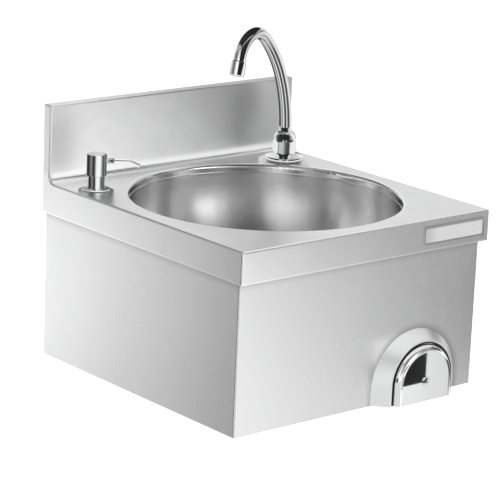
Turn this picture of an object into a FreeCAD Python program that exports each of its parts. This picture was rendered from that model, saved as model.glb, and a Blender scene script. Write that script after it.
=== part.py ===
import FreeCAD, Part
import math
import os

# Wall-hung stainless steel hand wash sink with a knee-operated valve, a swivel swan-neck
# spout and a deck-mounted soap pump. Millimetres. While modelling, X is to the right, Y
# towards the wall (the wall plane is Y = 0), Z up from the lower edge of the casing. Each
# sub-part is then placed so that the origin is the centre of the wall screw pattern.

V = FreeCAD.Vector
doc = FreeCAD.newDocument("hand_wash_sink")

# ---------------------------------------------------------------- driving dimensions
SIZES = [
    ("width", 400.0), ("depth", 400.0), ("deck", 230.0), ("splash_top", 330.0),
    ("splash_depth", 14.0), ("rim_low", 190.0), ("sheet_gauge", 1.2), ("bend_radius", 2.6),
    ("cove_radius", 9.0), ("casing_half", 194.0), ("casing_front", 390.0), ("flange_width", 26.0),
    ("bowl_y", -202.0), ("bowl_throat", 172.0), ("bowl_lip_radius", 5.0), ("bowl_joint", 219.0),
    ("bowl_curve", 118.0), ("bowl_floor", 90.0), ("waste_recess", 86.5), ("datum_height", 110.0),
    ("screw_hole_low", 40.0), ("screw_hole_high", 180.0), ("screw_hole_x", 180.0), ("screw_hole_radius", 4.0),
    ("spout_x", 152.0), ("spout_y", -58.0), ("spout_heading", 200.0), ("tube_radius", 8.25),
    ("tube_bore", 7.05), ("rise", 38.0), ("rise_arc", 172.0), ("rise_turn", 52.7), ("top_arc", 39.0),
    ("top_turn", 111.4), ("outlet_run", 9.0), ("thread_radius", 10.45),
    ("soap_x", -168.0), ("soap_y", -70.0), ("soap_heading", -37.0), ("soap_head_radius", 12.6),
    ("sleeve_radius", 10.3), ("knee_x", 93.0), ("knee_z", 26.0), ("pad_radius", 47.5), ("pad_face", 414.0),
    ("pad_skirt", 404.5), ("collar_front", 407.0), ("collar_wall", 1.5), ("stem_radius", 5.0),
    ("hose_radius", 5.5), ("hose_bore", 3.8), ("waste_thread", 23.9),
]
sheet = doc.addObject("Spreadsheet::Sheet", "Sheet")
P = {}
for i, (alias, value) in enumerate(SIZES):
    sheet.set("A%d" % (i + 1), alias)
    sheet.set("B%d" % (i + 1), str(value))
    sheet.setAlias("B%d" % (i + 1), alias)
    P[alias] = value
doc.recompute()

PIECES = []          # (label, object)


def num(c):
    """A coordinate is a number or (alias, offset)."""
    return P[c[0]] + c[1] if isinstance(c, tuple) else float(c)


def expr(c):
    return "Sheet.%s + %s" % (c[0], repr(float(c[1])))


def bind(obj, prop, c):
    if isinstance(c, tuple):
        obj.setExpression(prop, expr(c))


def keep(label, obj):
    obj.Label = label
    PIECES.append((label, obj))
    return obj


def settle(obj, x=0.0, y=0.0, rot=None, z=0.0):
    """Places a finished sub-part; heights are counted from the screw pattern's centre."""
    obj.Placement = FreeCAD.Placement(V(num(x), num(y), num(z) - P["datum_height"]),
                                      rot if rot is not None else FreeCAD.Rotation())
    bind(obj, ".Placement.Base.x", x)
    bind(obj, ".Placement.Base.y", y)
    if isinstance(z, tuple):
        obj.setExpression(".Placement.Base.z", "%s - Sheet.datum_height" % expr(z))
    else:
        obj.setExpression(".Placement.Base.z", "%s - Sheet.datum_height" % repr(float(z)))


ALONG_Y = FreeCAD.Rotation(V(1, 0, 0), -90)      # a turned part's own Z lies along +Y


def turned(label, pts, x=0.0, y=0.0, rounds=None, rot=None, z=0.0):
    """A body of revolution: pts are (radius, height) in order round the half section."""
    body = doc.addObject("PartDesign::Body", label + "_body")
    sk = body.newObject("Sketcher::SketchObject", label + "_section")
    plane = [f for f in body.Origin.OriginFeatures if f.Role == "XZ_Plane"][0]
    sk.AttachmentSupport = [(plane, "")]
    sk.MapMode = "FlatFace"
    n = len(pts)
    v = [(num(a), num(b)) for a, b in pts]
    for i in range(n):
        a, b = v[i], v[(i + 1) % n]
        sk.addGeometry(Part.LineSegment(V(a[0], a[1], 0), V(b[0], b[1], 0)), False)
    import Sketcher
    for i in range(n):
        sk.addConstraint(Sketcher.Constraint("Coincident", i, 2, (i + 1) % n, 1))
    for i in range(n):
        if abs(v[i][0]) < 1e-9:
            sk.addConstraint(Sketcher.Constraint("PointOnObject", i, 1, -2))
        else:
            c = sk.addConstraint(Sketcher.Constraint("DistanceX", -1, 1, i, 1, v[i][0]))
            if isinstance(pts[i][0], tuple):
                sk.setExpression("Constraints[%d]" % c, expr(pts[i][0]))
        if abs(v[i][1]) < 1e-9:
            sk.addConstraint(Sketcher.Constraint("PointOnObject", i, 1, -1))
        else:
            c = sk.addConstraint(Sketcher.Constraint("DistanceY", -1, 1, i, 1, v[i][1]))
            if isinstance(pts[i][1], tuple):
                sk.setExpression("Constraints[%d]" % c, expr(pts[i][1]))
    rev = body.newObject("PartDesign::Revolution", label + "_turn")
    rev.Profile = sk
    rev.ReferenceAxis = (sk, ["V_Axis"])
    rev.Angle = 360.0
    doc.recompute()
    last = rev
    for radius, which in (rounds or {}).items():
        names = []
        for k, e in enumerate(last.Shape.Edges):
            cv = e.Curve
            if not hasattr(cv, "Radius") or not hasattr(cv, "Center"):
                continue
            for j in which:
                if abs(cv.Radius - v[j][0]) < 1e-4 and abs(cv.Center.z - v[j][1]) < 1e-4:
                    names.append("Edge%d" % (k + 1))
        if names:
            fl = body.newObject("PartDesign::Fillet", "%s_round%d" % (label, int(radius * 100)))
            fl.Base = (last, names)
            fl.Radius = radius
            doc.recompute()
            last = fl
    body.Tip = last
    settle(body, x, y, rot, z)
    return keep(label, body)


def shaped(label, shape, x=0.0, y=0.0, rot=None, z=0.0):
    """A sub-part whose shape is worked out with the geometry kernel from the sheet's sizes."""
    f = doc.addObject("Part::Feature", label + "_piece")
    f.Shape = shape
    settle(f, x, y, rot, z)
    return keep(label, f)


def box(x0, x1, y0, y1, z0, z1):
    return Part.makeBox(x1 - x0, y1 - y0, z1 - z0, V(x0, y0, z0))


def hexagon(across, z0, z1, turn=0.0):
    r = across / math.sqrt(3.0)
    p = [V(r * math.cos(math.radians(60 * i + turn)), r * math.sin(math.radians(60 * i + turn)), z0)
         for i in range(7)]
    prism = Part.Face(Part.makePolygon(p)).extrude(V(0, 0, z1 - z0))
    # both ends are chamfered at the corners, as turned nuts are
    h = min(0.05 * across, 0.2 * (z1 - z0))
    w0, w1 = across * 0.5 + 0.1, across * 0.5 + 0.1 + h * 1.732
    lo = Part.makeCone(w0, w1, h, V(0, 0, z0))
    hi = Part.makeCone(w1, w0, h, V(0, 0, z1 - h))
    mid = Part.makeCylinder(w1, (z1 - z0) - 2 * h, V(0, 0, z0 + h))
    return prism.common(lo.fuse(mid).fuse(hi)).removeSplitter()


def solid_of(shape):
    s = shape.Solids
    return s[0] if len(s) == 1 else shape


def arch(half, centre_z, low, x, y):
    """The U outline of the knee opening: a half circle on straight sides, as a closed wire."""
    a = Part.Arc(V(x + half, y, centre_z), V(x, y, centre_z + half), V(x - half, y, centre_z)).toShape()
    return Part.Wire([a, Part.makeLine(V(x - half, y, centre_z), V(x - half, y, low)),
                      Part.makeLine(V(x - half, y, low), V(x + half, y, low)),
                      Part.makeLine(V(x + half, y, low), V(x + half, y, centre_z))])


def arch_prism(half, centre_z, low, x, y0, y1):
    return Part.Face(arch(half, centre_z, low, x, y0)).extrude(V(0, y1 - y0, 0))


# ---------------------------------------------------------------- worktop with splashback
W = P["width"] / 2
D = P["depth"]
T = P["sheet_gauge"]
DK = P["deck"]


def side_outline(off):
    """The worktop's outline seen from the side, taken in by off."""
    d, z, sd, st = D - off, DK - off, P["splash_depth"] - off, P["splash_top"] - off
    r = P["bend_radius"] - off
    cr = P["cove_radius"] + off
    k = math.sqrt(0.5)
    low = P["rim_low"] + (T if off else 0.0)
    back = 1.0 if off else 0.0
    cy, cz = -sd - cr, z + cr
    e = [Part.makeLine(V(0, back, low), V(0, -d, low)),
         Part.makeLine(V(0, -d, low), V(0, -d, z - r)),
         Part.Arc(V(0, -d, z - r), V(0, -d + r - r * k, z - r + r * k), V(0, -d + r, z)).toShape(),
         Part.makeLine(V(0, -d + r, z), V(0, cy, z)),
         Part.Arc(V(0, cy, z), V(0, cy + cr * k, cz - cr * k), V(0, -sd, cz)).toShape(),
         Part.makeLine(V(0, -sd, cz), V(0, -sd, st - r)),
         Part.Arc(V(0, -sd, st - r), V(0, -sd + r - r * k, st - r + r * k), V(0, -sd + r, st)).toShape(),
         Part.makeLine(V(0, -sd + r, st), V(0, back, st)),
         Part.makeLine(V(0, back, st), V(0, back, low))]
    return Part.Face(Part.Wire(e))


def rounded_ends(solid, half, r, low):
    """Rounds the long edges where the top and front meet the two ends."""
    edges = []
    for e in solid.Edges:
        ps = [e.valueAt(e.FirstParameter), e.valueAt(e.LastParameter),
              e.valueAt(0.5 * (e.FirstParameter + e.LastParameter))]
        if all(abs(abs(p.x) - half) < 1e-6 for p in ps):
            if all(abs(p.z - low) < 1e-6 for p in ps):
                continue
            if all(p.y > -1e-6 for p in ps):
                continue
            edges.append(e)
    return solid.makeFillet(r, edges)


outer = side_outline(0.0).extrude(V(2 * W, 0, 0))
outer.translate(V(-W, 0, 0))
outer = rounded_ends(outer, W, P["bend_radius"], P["rim_low"])
inner = side_outline(T).extrude(V(2 * (W - T), 0, 0))
inner.translate(V(-(W - T), 0, 0))
inner = rounded_ends(inner, W - T, P["bend_radius"] - T, P["rim_low"] + T)
top = outer.cut(inner)
ch, cf = P["casing_half"], P["casing_front"]
top = top.cut(box(-ch - 0.1, ch + 0.1, -cf - 0.1, 5, P["rim_low"] - 2, P["rim_low"] + T + 1))
# drawn opening for the bowl: the deck turns down into a short collar
lr = P["bowl_lip_radius"]
rt = P["bowl_throat"]
ro = rt + lr
by = P["bowl_y"]
jz = P["bowl_joint"]
k = math.sqrt(0.5)
top = top.cut(Part.makeCylinder(ro, 20, V(0, by, DK - 10)))
lip = [Part.Arc(V(ro, 0, DK), V(ro - lr * k, 0, DK - lr + lr * k), V(rt, 0, DK - lr)).toShape(),
       Part.makeLine(V(rt, 0, DK - lr), V(rt, 0, jz)),
       Part.makeLine(V(rt, 0, jz), V(rt + T, 0, jz)),
       Part.makeLine(V(rt + T, 0, jz), V(rt + T, 0, DK - lr)),
       Part.Arc(V(rt + T, 0, DK - lr), V(ro - (lr - T) * k, 0, DK - lr + (lr - T) * k), V(ro, 0, DK - T)).toShape(),
       Part.makeLine(V(ro, 0, DK - T), V(ro, 0, DK))]
ring = Part.Face(Part.Wire(lip)).revolve(V(0, 0, 0), V(0, 0, 1), 360)
ring.translate(V(0, by, 0))
top = top.fuse(ring)
top = top.cut(Part.makeCylinder(11.0, 20, V(P["spout_x"], P["spout_y"], DK - 10)))
top = top.cut(Part.makeCylinder(10.8, 20, V(P["soap_x"], P["soap_y"], DK - 10)))
shaped("worktop", solid_of(top.removeSplitter()))

# ---------------------------------------------------------------- bowl
bc = P["bowl_curve"]
bf = P["bowl_floor"]
wr = P["waste_recess"]
cz = bf + bc                  # height of the wall curve's centre
cr0 = rt - bc                 # its radius from the bowl's axis
sec = [Part.makeLine(V(rt, 0, jz), V(rt, 0, cz)),
       Part.Arc(V(rt, 0, cz), V(cr0 + bc * k, 0, cz - bc * k), V(cr0, 0, bf)).toShape(),
       Part.makeLine(V(cr0, 0, bf), V(40.5, 0, bf - 0.6)),
       Part.makeLine(V(40.5, 0, bf - 0.6), V(38.5, 0, wr)),
       Part.makeLine(V(38.5, 0, wr), V(24.3, 0, wr)),
       Part.makeLine(V(24.3, 0, wr), V(24.3, 0, wr - T)),
       Part.makeLine(V(24.3, 0, wr - T), V(39.6, 0, wr - T)),
       Part.makeLine(V(39.6, 0, wr - T), V(41.6, 0, bf - 0.6 - T)),
       Part.makeLine(V(41.6, 0, bf - 0.6 - T), V(cr0, 0, bf - T)),
       Part.Arc(V(cr0, 0, bf - T), V(cr0 + (bc + T) * k, 0, cz - (bc + T) * k), V(rt + T, 0, cz)).toShape(),
       Part.makeLine(V(rt + T, 0, cz), V(rt + T, 0, jz)),
       Part.makeLine(V(rt + T, 0, jz), V(rt, 0, jz))]
bowl = Part.Face(Part.Wire(sec)).revolve(V(0, 0, 0), V(0, 0, 1), 360)
shaped("bowl", bowl, 0.0, ("bowl_y", 0.0))

# ---------------------------------------------------------------- casing (apron)
ctop = DK - T


def u_tray(half, front, r, z0, z1, back):
    s = box(-half, half, -front, back, z0, z1)
    ed = [e for e in s.Edges if abs(e.Length - (z1 - z0)) < 1e-6 and
          abs(e.CenterOfMass.y + front) < 1e-6]
    return s.makeFillet(r, ed)


cas = u_tray(ch, cf, 2.6, 0.0, ctop, 0.0).cut(u_tray(ch - T, cf - T, 1.4, T, ctop + 5, 5.0))
cas = cas.cut(box(-ch + 12, ch - 12, -cf + 12, 5, -1, T + 1))        # bottom return, 12 wide
fw = P["flange_width"]
cas = cas.cut(box(-ch + 1.0, ch - 1.0, -12, 5, -1, T + 1))
for sx in (-1, 1):                                                    # flanges on the wall
    a, b = sorted((sx * ch, sx * (ch - fw)))
    cas = cas.fuse(box(a, b, -T, 0.0, 0.0, ctop))
cas = cas.cut(arch_prism(66.0, 18.0, -5.0, P["knee_x"], -cf - 5, -cf + 16))
for sx in (-1, 1):
    for hz in (P["screw_hole_low"], P["screw_hole_high"]):
        cas = cas.cut(Part.makeCylinder(P["screw_hole_radius"], 20, V(sx * P["screw_hole_x"], -10, hz), V(0, 1, 0)))
shaped("casing", solid_of(cas.removeSplitter()))

# rail that ties the two sides behind the bowl
rail = box(-192.0, 192.0, -2 * T, -T, 188.0, 226.0).fuse(box(-192.0, 192.0, -14.0, -T, 188.0, 188.0 + T))
for sx in (-1, 1):
    rail = rail.cut(box(min(sx * 166, sx * 194), max(sx * 166, sx * 194), -20, 0, 180, 195))
shaped("rear_rail", solid_of(rail.removeSplitter()))

# plain plate on the front of the rim
pl = box(87.0, 191.0, -D - 1.0, -D, 197.0, 222.0)
pl = pl.makeFillet(3.0, [e for e in pl.Edges if abs(e.Length - 1.0) < 1e-6])
pl = pl.makeFillet(0.45, [e for e in pl.Edges if abs(e.CenterOfMass.y + D + 1.0) < 1e-6])
shaped("front_plate", pl)

# ---------------------------------------------------------------- knee-operated valve
kx, kz = P["knee_x"], P["knee_z"]
cwall = P["collar_wall"]
cfr = P["collar_front"]
co = Part.makeLoft([arch(70.5, 18.0, 0.0, kx, -cf), arch(52.0, 25.0, 0.0, kx, -cfr)], True, True)
ci = Part.makeLoft([arch(70.5 - cwall, 18.0, -6.0, kx, -cf), arch(52.0 - cwall, 25.0, -6.0, kx, -cfr)], True, True)
ci2 = arch_prism(52.0 - cwall, 25.0, -6.0, kx, -cfr - 2, -cfr + 0.001)
collar = co.cut(ci).cut(ci2)
try:
    fe = [e for e in collar.Edges if abs(e.CenterOfMass.y + cfr) < 1e-3 and e.Length > 20
          and abs(abs(e.valueAt(e.FirstParameter).x - kx) - 52.0) < 0.01]
    rounded = collar.makeFillet(0.7, fe)
    if rounded.isValid():
        collar = rounded
except Exception:
    pass
shaped("knee_collar", solid_of(collar))

pr = P["pad_radius"]
pf, ps = P["pad_face"], P["pad_skirt"]


def cushion(half, low, y0, y1, r):
    s = arch_prism(half, 25.0, low, kx, y0, y1)
    ed = [e for e in s.Edges if abs(e.CenterOfMass.y - y0) < 1e-6 and
          not all(abs(v.Z - low) < 1e-6 for v in e.Vertexes)]
    return s.makeFillet(r, ed)


pad = cushion(pr, 0.5, -pf, -ps, 8.5)
pin = cushion(pr - 1.5, 2.0, -pf + 1.5, -ps + 5, 7.0)
pad = pad.cut(pin)
pad = pad.cut(Part.makeCylinder(3.1, 10, V(kx, -pf - 2, kz), V(0, 1, 0)))
shaped("knee_pad", solid_of(pad))

# the next parts are turned about the valve's axis; their own Z = 0 lies 420 in front of the wall
kn = dict(x=("knee_x", 0.0), y=-420.0, z=("knee_z", 0.0), rot=ALONG_Y)
turned("pad_hub", [(3.05, 7.52), (12.0, 7.52), (12.0, 18.0), (9.0, 22.0), (5.02, 22.0), (5.02, 14.0), (3.05, 14.0)],
       rounds={0.8: [3]}, **kn)
turned("pad_screw", [(0, 5.7), (1.75, 5.7), (1.75, 4.2), (5.7, 4.2), (6.5, 5.0), (6.5, 6.0), (3.0, 6.0), (3.0, 13.9), (0, 13.9)], **kn)
turned("valve_stem", [(0, 14.05), (5.0, 14.05), (5.0, 68.0), (5.0, 86.0), (0, 86.0)], **kn)
turned("valve_poppet", [(5.0, 70.0), (8.0, 70.0), (8.0, 76.0), (5.0, 76.0)], **kn)
turned("poppet_seal", [(5.0, 76.0), (9.0, 76.0), (9.0, 79.0), (5.0, 79.0)], rounds={0.6: [1, 2]}, **kn)
bn = hexagon(32.0, 44.0, 54.0, 30.0)
bn = bn.cut(Part.makeCylinder(5.05, 30, V(0, 0, 40))).cut(Part.makeCylinder(11.9, 10, V(0, 0, 48.2)))
shaped("valve_bonnet", solid_of(bn), **kn)
turned("stem_seal", [(5.03, 48.3), (8.0, 48.3), (8.0, 50.1), (5.03, 50.1)], **kn)

vb = box(kx - 42, kx + 42, -364, -318, kz - 17, kz + 17)
vb = vb.makeFillet(3.0, [e for e in vb.Edges if e.Length > 30])
vb = vb.fuse(Part.makeCylinder(11.8, 6.0, V(kx, -369.8, kz), V(0, 1, 0)))
for sx in (-1, 1):
    vb = vb.fuse(Part.makeCylinder(9.6, 3.0, V(kx + sx * 28, -318.5, 20.0), V(0, 1, 0)))
    vb = vb.fuse(Part.makeCylinder(P["thread_radius"], 12.5, V(kx + sx * 28, -316.5, 20.0), V(0, 1, 0)))
vb = vb.fuse(Part.makeCylinder(9.0, 8.0, V(kx, -338, kz + 15)))
vb = vb.cut(Part.makeCylinder(5.05, 20, V(kx, -372, kz), V(0, 1, 0)))
vb = vb.cut(Part.makeCylinder(13.0, 34, V(kx, -358, kz), V(0, 1, 0)))
vb = vb.cut(Part.makeCylinder(4.5, 30, V(kx, -338, kz)))
for sx in (-1, 1):
    vb = vb.cut(Part.makeCylinder(7.0, 30, V(kx + sx * 28, -333, 20.0), V(0, 1, 0)))
vb = vb.cut(Part.makeCylinder(4.0, 66, V(kx - 33, -329, 24.0), V(1, 0, 0)))
shaped("valve_body", solid_of(vb.removeSplitter()))

nr = []
for sx in (-1, 1):
    c = Part.makeCylinder(6.9, 12, V(kx + sx * 28, -320, 20.0), V(0, 1, 0))
    c = c.cut(Part.makeCylinder(2.5, 20, V(kx + sx * 28, -322, 20.0), V(0, 1, 0)))
    nr.append(c)
shaped("non_return_valves", Part.makeCompound(nr))

brk = box(kx - 80, kx + 80, -366, -364, 4, 52)
for sx in (-1, 1):
    a, b = sorted((kx + sx * 80, kx + sx * 78))
    brk = brk.fuse(box(a, b, -cf + T, -364, 4, 52))
    a, b = sorted((kx + sx * 78, kx + sx * 95))
    brk = brk.fuse(box(a, b, -cf + T, -cf + T + 2, 4, 52))
brk = brk.cut(Part.makeCylinder(12.0, 20, V(kx, -375, kz), V(0, 1, 0)))
shaped("valve_bracket", solid_of(brk.removeSplitter()))


def coil(mean, wire, height, turns):
    """A compression spring standing on Z = 0, with its closed end turns."""
    pitch = (height - wire) / turns
    helix = Part.makeHelix(pitch, height - wire, mean)
    sec = Part.Wire(Part.makeCircle(wire / 2, V(mean, 0, 0), V(0, 1, 0)))
    s = Part.Wire(helix.Edges).makePipeShell([sec], True, True)
    s.translate(V(0, 0, wire / 2))
    return s


shaped("return_spring", coil(8.4, 1.6, 21.2, 4.5), x=("knee_x", 0.0), y=-396.8, z=("knee_z", 0.0), rot=ALONG_Y)


def bent_tube(points, radii, r_out, r_in):
    """Straight runs joined by tangent arcs; returns the tube and its centre line's length."""
    pts = [V(*p) for p in points]
    edges = []
    cur = pts[0]
    for i in range(1, len(pts) - 1):
        a = (pts[i - 1] - pts[i]).normalize()
        b = (pts[i + 1] - pts[i]).normalize()
        turn = math.pi - a.getAngle(b)
        back = radii[i - 1] * math.tan(turn / 2)
        p0 = pts[i] + a * back
        p1 = pts[i] + b * back
        bis = (a + b).normalize()
        cen = pts[i] + bis * (radii[i - 1] / math.cos(turn / 2))
        mid = cen - bis * radii[i - 1]
        edges.append(Part.LineSegment(cur, p0).toShape())
        edges.append(Part.Arc(p0, mid, p1).toShape())
        cur = p1
    edges.append(Part.LineSegment(cur, pts[-1]).toShape())
    w = Part.Wire(edges)
    d = (pts[1] - pts[0]).normalize()

    def sweep(r):
        return w.makePipeShell([Part.Wire(Part.makeCircle(r, pts[0], d))], True, False)
    s = sweep(r_out)
    if r_in:
        s = s.cut(sweep(r_in))
    return solid_of(s), w.Length


elbow, n0 = bent_tube([(kx, -338, kz + 23), (kx, -338, 66), (kx, -295, 66)], [10.0], 7.0, 4.5)
shaped("outlet_elbow", elbow)

HOSE = [(kx, -290, 66), (kx, -218, 60), (122, -150, 52), (152, -58, 72), (152, -58, 176)]
hr = []
for i in range(1, len(HOSE) - 1):
    a = V(*HOSE[i]) - V(*HOSE[i - 1])
    b = V(*HOSE[i + 1]) - V(*HOSE[i])
    turn = a.getAngle(b)
    hr.append(0.45 * min(a.Length, b.Length) / math.tan(turn / 2))
hose, hl = bent_tube(HOSE, hr, P["hose_radius"], P["hose_bore"])
ideal = math.pi * (P["hose_radius"] ** 2 - P["hose_bore"] ** 2) * hl
print("hose radii", [round(r, 1) for r in hr], "length", round(hl, 1), "volume ratio", round(hose.Volume / ideal, 4))
shaped("supply_hose", hose)
d0 = (V(*HOSE[1]) - V(*HOSE[0])).normalize()
fa = Part.makeCylinder(7.2, 16, V(*HOSE[0]) - d0 * 3, d0).cut(Part.makeCylinder(5.55, 30, V(*HOSE[0]) - d0 * 0.05, d0))
fb = Part.makeCylinder(7.2, 16, V(152, -58, 163)).cut(Part.makeCylinder(5.55, 13.05, V(152, -58, 163)))
fa = fa.cut(Part.makeCylinder(3.8, 30, V(*HOSE[0]) - d0 * 8, d0))
fb = fb.cut(Part.makeCylinder(3.8, 30, V(152, -58, 160)))
shaped("hose_ferrules", Part.makeCompound([solid_of(fa), solid_of(fb)]))
nl = hexagon(19.0, 0.0, 12.0)
nl = nl.cut(Part.makeCylinder(7.05, 20, V(0, 0, -2)))
shaped("hose_nut_lower", solid_of(nl), x=("knee_x", 0.0), y=-306.0, z=66.0, rot=ALONG_Y)
nu = hexagon(25.0, 179.5, 194.0).cut(Part.makeCylinder(10.5, 20, V(0, 0, 186))).cut(Part.makeCylinder(3.8, 20, V(0, 0, 175)))
shaped("hose_nut_upper", solid_of(nu), ("spout_x", 0.0), ("spout_y", 0.0))

# ---------------------------------------------------------------- spout
sp = dict(x=("spout_x", 0.0), y=("spout_y", 0.0))
dk = lambda o: ("deck", o)
turned("spout_gasket", [(10.8, dk(0)), (24.0, dk(0)), (24.0, dk(1.0)), (10.8, dk(1.0))], **sp)
turned("spout_flange", [(10.8, dk(1.0)), (25.5, dk(1.0)), (25.5, dk(4.8)), (21.5, dk(6.6)), (15.9, dk(9.5)), (10.8, dk(9.5))],
       rounds={1.0: [2, 3]}, **sp)
sh = hexagon(27.5, DK + 9.5, DK + 26.0, 15.0)
sh = sh.fuse(Part.makeCylinder(P["thread_radius"], DK + 10.0 - 190.0, V(0, 0, 190.0)))
sh = sh.fuse(Part.makeCylinder(11.5, 5.5, V(0, 0, DK + 25.5)))
sh = sh.cut(Part.makeCylinder(6.5, 80, V(0, 0, 185.0)))
sh = sh.cut(Part.makeCylinder(8.30, 30, V(0, 0, DK + 13.0)))
sh = sh.cut(Part.makeCylinder(10.2, 2.4, V(0, 0, DK + 16.0)))
shaped("spout_shank", solid_of(sh.removeSplitter()), **sp)
seal = Part.makeTorus(9.21, 0.93, V(0, 0, DK + 17.2))
shaped("tube_seal", seal, **sp)
# domed nut that holds the tube down
cap = [Part.makeLine(V(11.6, 0, DK + 26.05), V(14.7, 0, DK + 26.05)),
       Part.makeLine(V(14.7, 0, DK + 26.05), V(14.7, 0, DK + 30.0)),
       Part.Arc(V(14.7, 0, DK + 30.0), V(13.1, 0, DK + 35.6), V(9.2, 0, DK + 38.6)).toShape(),
       Part.makeLine(V(9.2, 0, DK + 38.6), V(8.45, 0, DK + 38.6)),
       Part.makeLine(V(8.45, 0, DK + 38.6), V(8.45, 0, DK + 34.2)),
       Part.makeLine(V(8.45, 0, DK + 34.2), V(10.3, 0, DK + 34.2)),
       Part.makeLine(V(10.3, 0, DK + 34.2), V(10.3, 0, DK + 31.4)),
       Part.makeLine(V(10.3, 0, DK + 31.4), V(11.6, 0, DK + 31.4)),
       Part.makeLine(V(11.6, 0, DK + 31.4), V(11.6, 0, DK + 26.05))]
shaped("spout_cap", Part.Face(Part.Wire(cap)).revolve(V(0, 0, 0), V(0, 0, 1), 360), **sp)
turned("tube_collar", [(("tube_radius", 0.0), dk(31.5)), (10.2, dk(31.5)), (10.2, dk(34.1)), (("tube_radius", 0.0), dk(34.1))], **sp)
turned("spout_washer", [(10.8, 226.8), (17.0, 226.8), (17.0, 228.8), (10.8, 228.8)], **sp)
ln = hexagon(30.0, 216.8, 226.8).cut(Part.makeCylinder(10.5, 40, V(0, 0, 200)))
shaped("spout_locknut", solid_of(ln), **sp)


def neck(r, a, b):
    """The swan neck's centre line in its own upright plane, swept with radius r."""
    s, z, th = 0.0, DK + P["rise"], 0.0
    edges = [Part.makeLine(V(0, 0, DK + 14.0 - a), V(0, 0, z))]
    for rad, turn in ((P["rise_arc"], P["rise_turn"]), (P["top_arc"], P["top_turn"])):
        t1 = th + math.radians(turn)
        q = lambda q_t: V(s + rad * (math.cos(th) - math.cos(q_t)), 0, z + rad * (math.sin(q_t) - math.sin(th)))
        p0, pm, p1 = q(th), q(0.5 * (th + t1)), q(t1)
        edges.append(Part.Arc(p0, pm, p1).toShape())
        s, z, th = p1.x, p1.z, t1
    end = V(s + (P["outlet_run"] + b) * math.sin(th), 0, z + (P["outlet_run"] + b) * math.cos(th))
    edges.append(Part.makeLine(V(s, 0, z), end))
    w = Part.Wire(edges)
    ring = Part.Wire(Part.makeCircle(r, V(0, 0, DK + 14.0 - a), V(0, 0, 1)))
    return w.makePipeShell([ring], True, False), end, th


tube, tip, tilt = neck(P["tube_radius"], 0.0, 0.0)
hollow, _, _ = neck(P["tube_bore"], 1.0, 1.0)
tube = tube.cut(hollow)
heading = FreeCAD.Rotation(V(0, 0, 1), P["spout_heading"])
shaped("spout_tube", solid_of(tube), ("spout_x", 0.0), ("spout_y", 0.0), heading)
print("spout tip", tip, "tilt", math.degrees(tilt))

# the outlet's parts are turned about the tube's end; Z = 0 is 6 short of the end
axis = V(math.sin(tilt), 0, math.cos(tilt))
base = tip - axis * 6.0
wpos = heading.multVec(base) + V(P["spout_x"], P["spout_y"], 0)
wrot = FreeCAD.Rotation(V(0, 0, 1), heading.multVec(axis))
ae = dict(x=wpos.x, y=wpos.y, z=wpos.z, rot=wrot)
turned("aerator_housing", [(8.3, 0), (9.0, 0), (9.8, 1.0), (9.8, 18.2), (9.0, 19.6), (7.4, 19.6), (7.4, 18.6), (7.7, 18.6),
                           (7.7, 6.1), (8.3, 6.1)], rounds={0.5: [2, 3]}, **ae)
turned("aerator_washer", [(5.2, 6.1), (7.6, 6.1), (7.6, 7.6), (5.2, 7.6)], **ae)
turned("aerator_insert", [(0, 7.7), (7.6, 7.7), (7.6, 18.5), (0, 18.5)], **ae)

# ---------------------------------------------------------------- soap pump
so = dict(x=("soap_x", 0.0), y=("soap_y", 0.0))
turned("soap_gasket", [(10.5, dk(0)), (16.0, dk(0)), (16.0, dk(0.8)), (10.5, dk(0.8))], **so)
turned("soap_flange", [(10.45, dk(0.8)), (16.8, dk(0.8)), (16.8, dk(2.2)), (14.6, dk(3.2)), (12.0, dk(3.4)), (12.0, dk(4.2)), (10.45, dk(4.2))],
       rounds={0.5: [2], 0.35: [5]}, **so)
turned("soap_sleeve", [(7.0, 190.0), (("sleeve_radius", 0.0), 190.0), (("sleeve_radius", 0.0), dk(18.2)), (2.55, dk(18.2)),
                       (2.55, dk(14.0)), (7.0, dk(14.0))], rounds={0.6: [2]}, **so)
sn = hexagon(30.0, 219.8, 228.8).cut(Part.makeCylinder(10.35, 40, V(0, 0, 200)))
shaped("soap_locknut", solid_of(sn), **so)
turned("soap_bottle", [(0, 50.0), (24.0, 50.0), (24.0, 178.0), (13.2, 190.0), (13.2, 213.0), (10.4, 213.0), (10.4, 189.0),
                       (22.6, 177.4), (22.6, 51.4), (0, 51.4)], rounds={5.0: [1], 4.0: [2]}, **so)
turned("pump_cylinder", [(3.05, 150.0), (6.9, 150.0), (6.9, dk(13.9)), (5.05, dk(13.9)), (5.05, 154.0), (3.05, 154.0)], **so)
turned("dip_tube", [(1.9, 54.0), (3.0, 54.0), (3.0, 153.9), (1.9, 153.9)], **so)
turned("pump_stem", [(0, 215.0), (5.0, 215.0), (5.0, 221.0), (2.5, 221.0), (2.5, dk(40.0)), (0, dk(40.0))], **so)
shaped("pump_spring", coil(3.9, 0.9, 60.2, 10), x=("soap_x", 0.0), y=("soap_y", 0.0), z=154.6)
turned("soap_head", [(10.6, dk(18.7)), (("soap_head_radius", 0.0), dk(18.7)), (("soap_head_radius", 0.0), dk(46.0)), (0, dk(46.0)),
                     (0, dk(40.1)), (2.55, dk(40.1)), (2.55, dk(34.0)), (10.6, dk(34.0))], rounds={1.4: [2], 0.4: [1]}, **so)
nz = DK + 37.5
noz = Part.makeCone(3.3, 2.35, 31.0, V(11.0, 0, nz), V(1, 0, 0))
tipv = V(math.cos(math.radians(24)), 0, -math.sin(math.radians(24)))
noz = noz.fuse(Part.makeSphere(2.35, V(42.0, 0, nz)))
noz = noz.fuse(Part.makeCone(2.35, 2.75, 13.0, V(42.0, 0, nz), tipv))
noz = noz.cut(Part.makeCylinder(1.5, 20, V(42.0, 0, nz) + tipv * 9.0, tipv))
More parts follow.
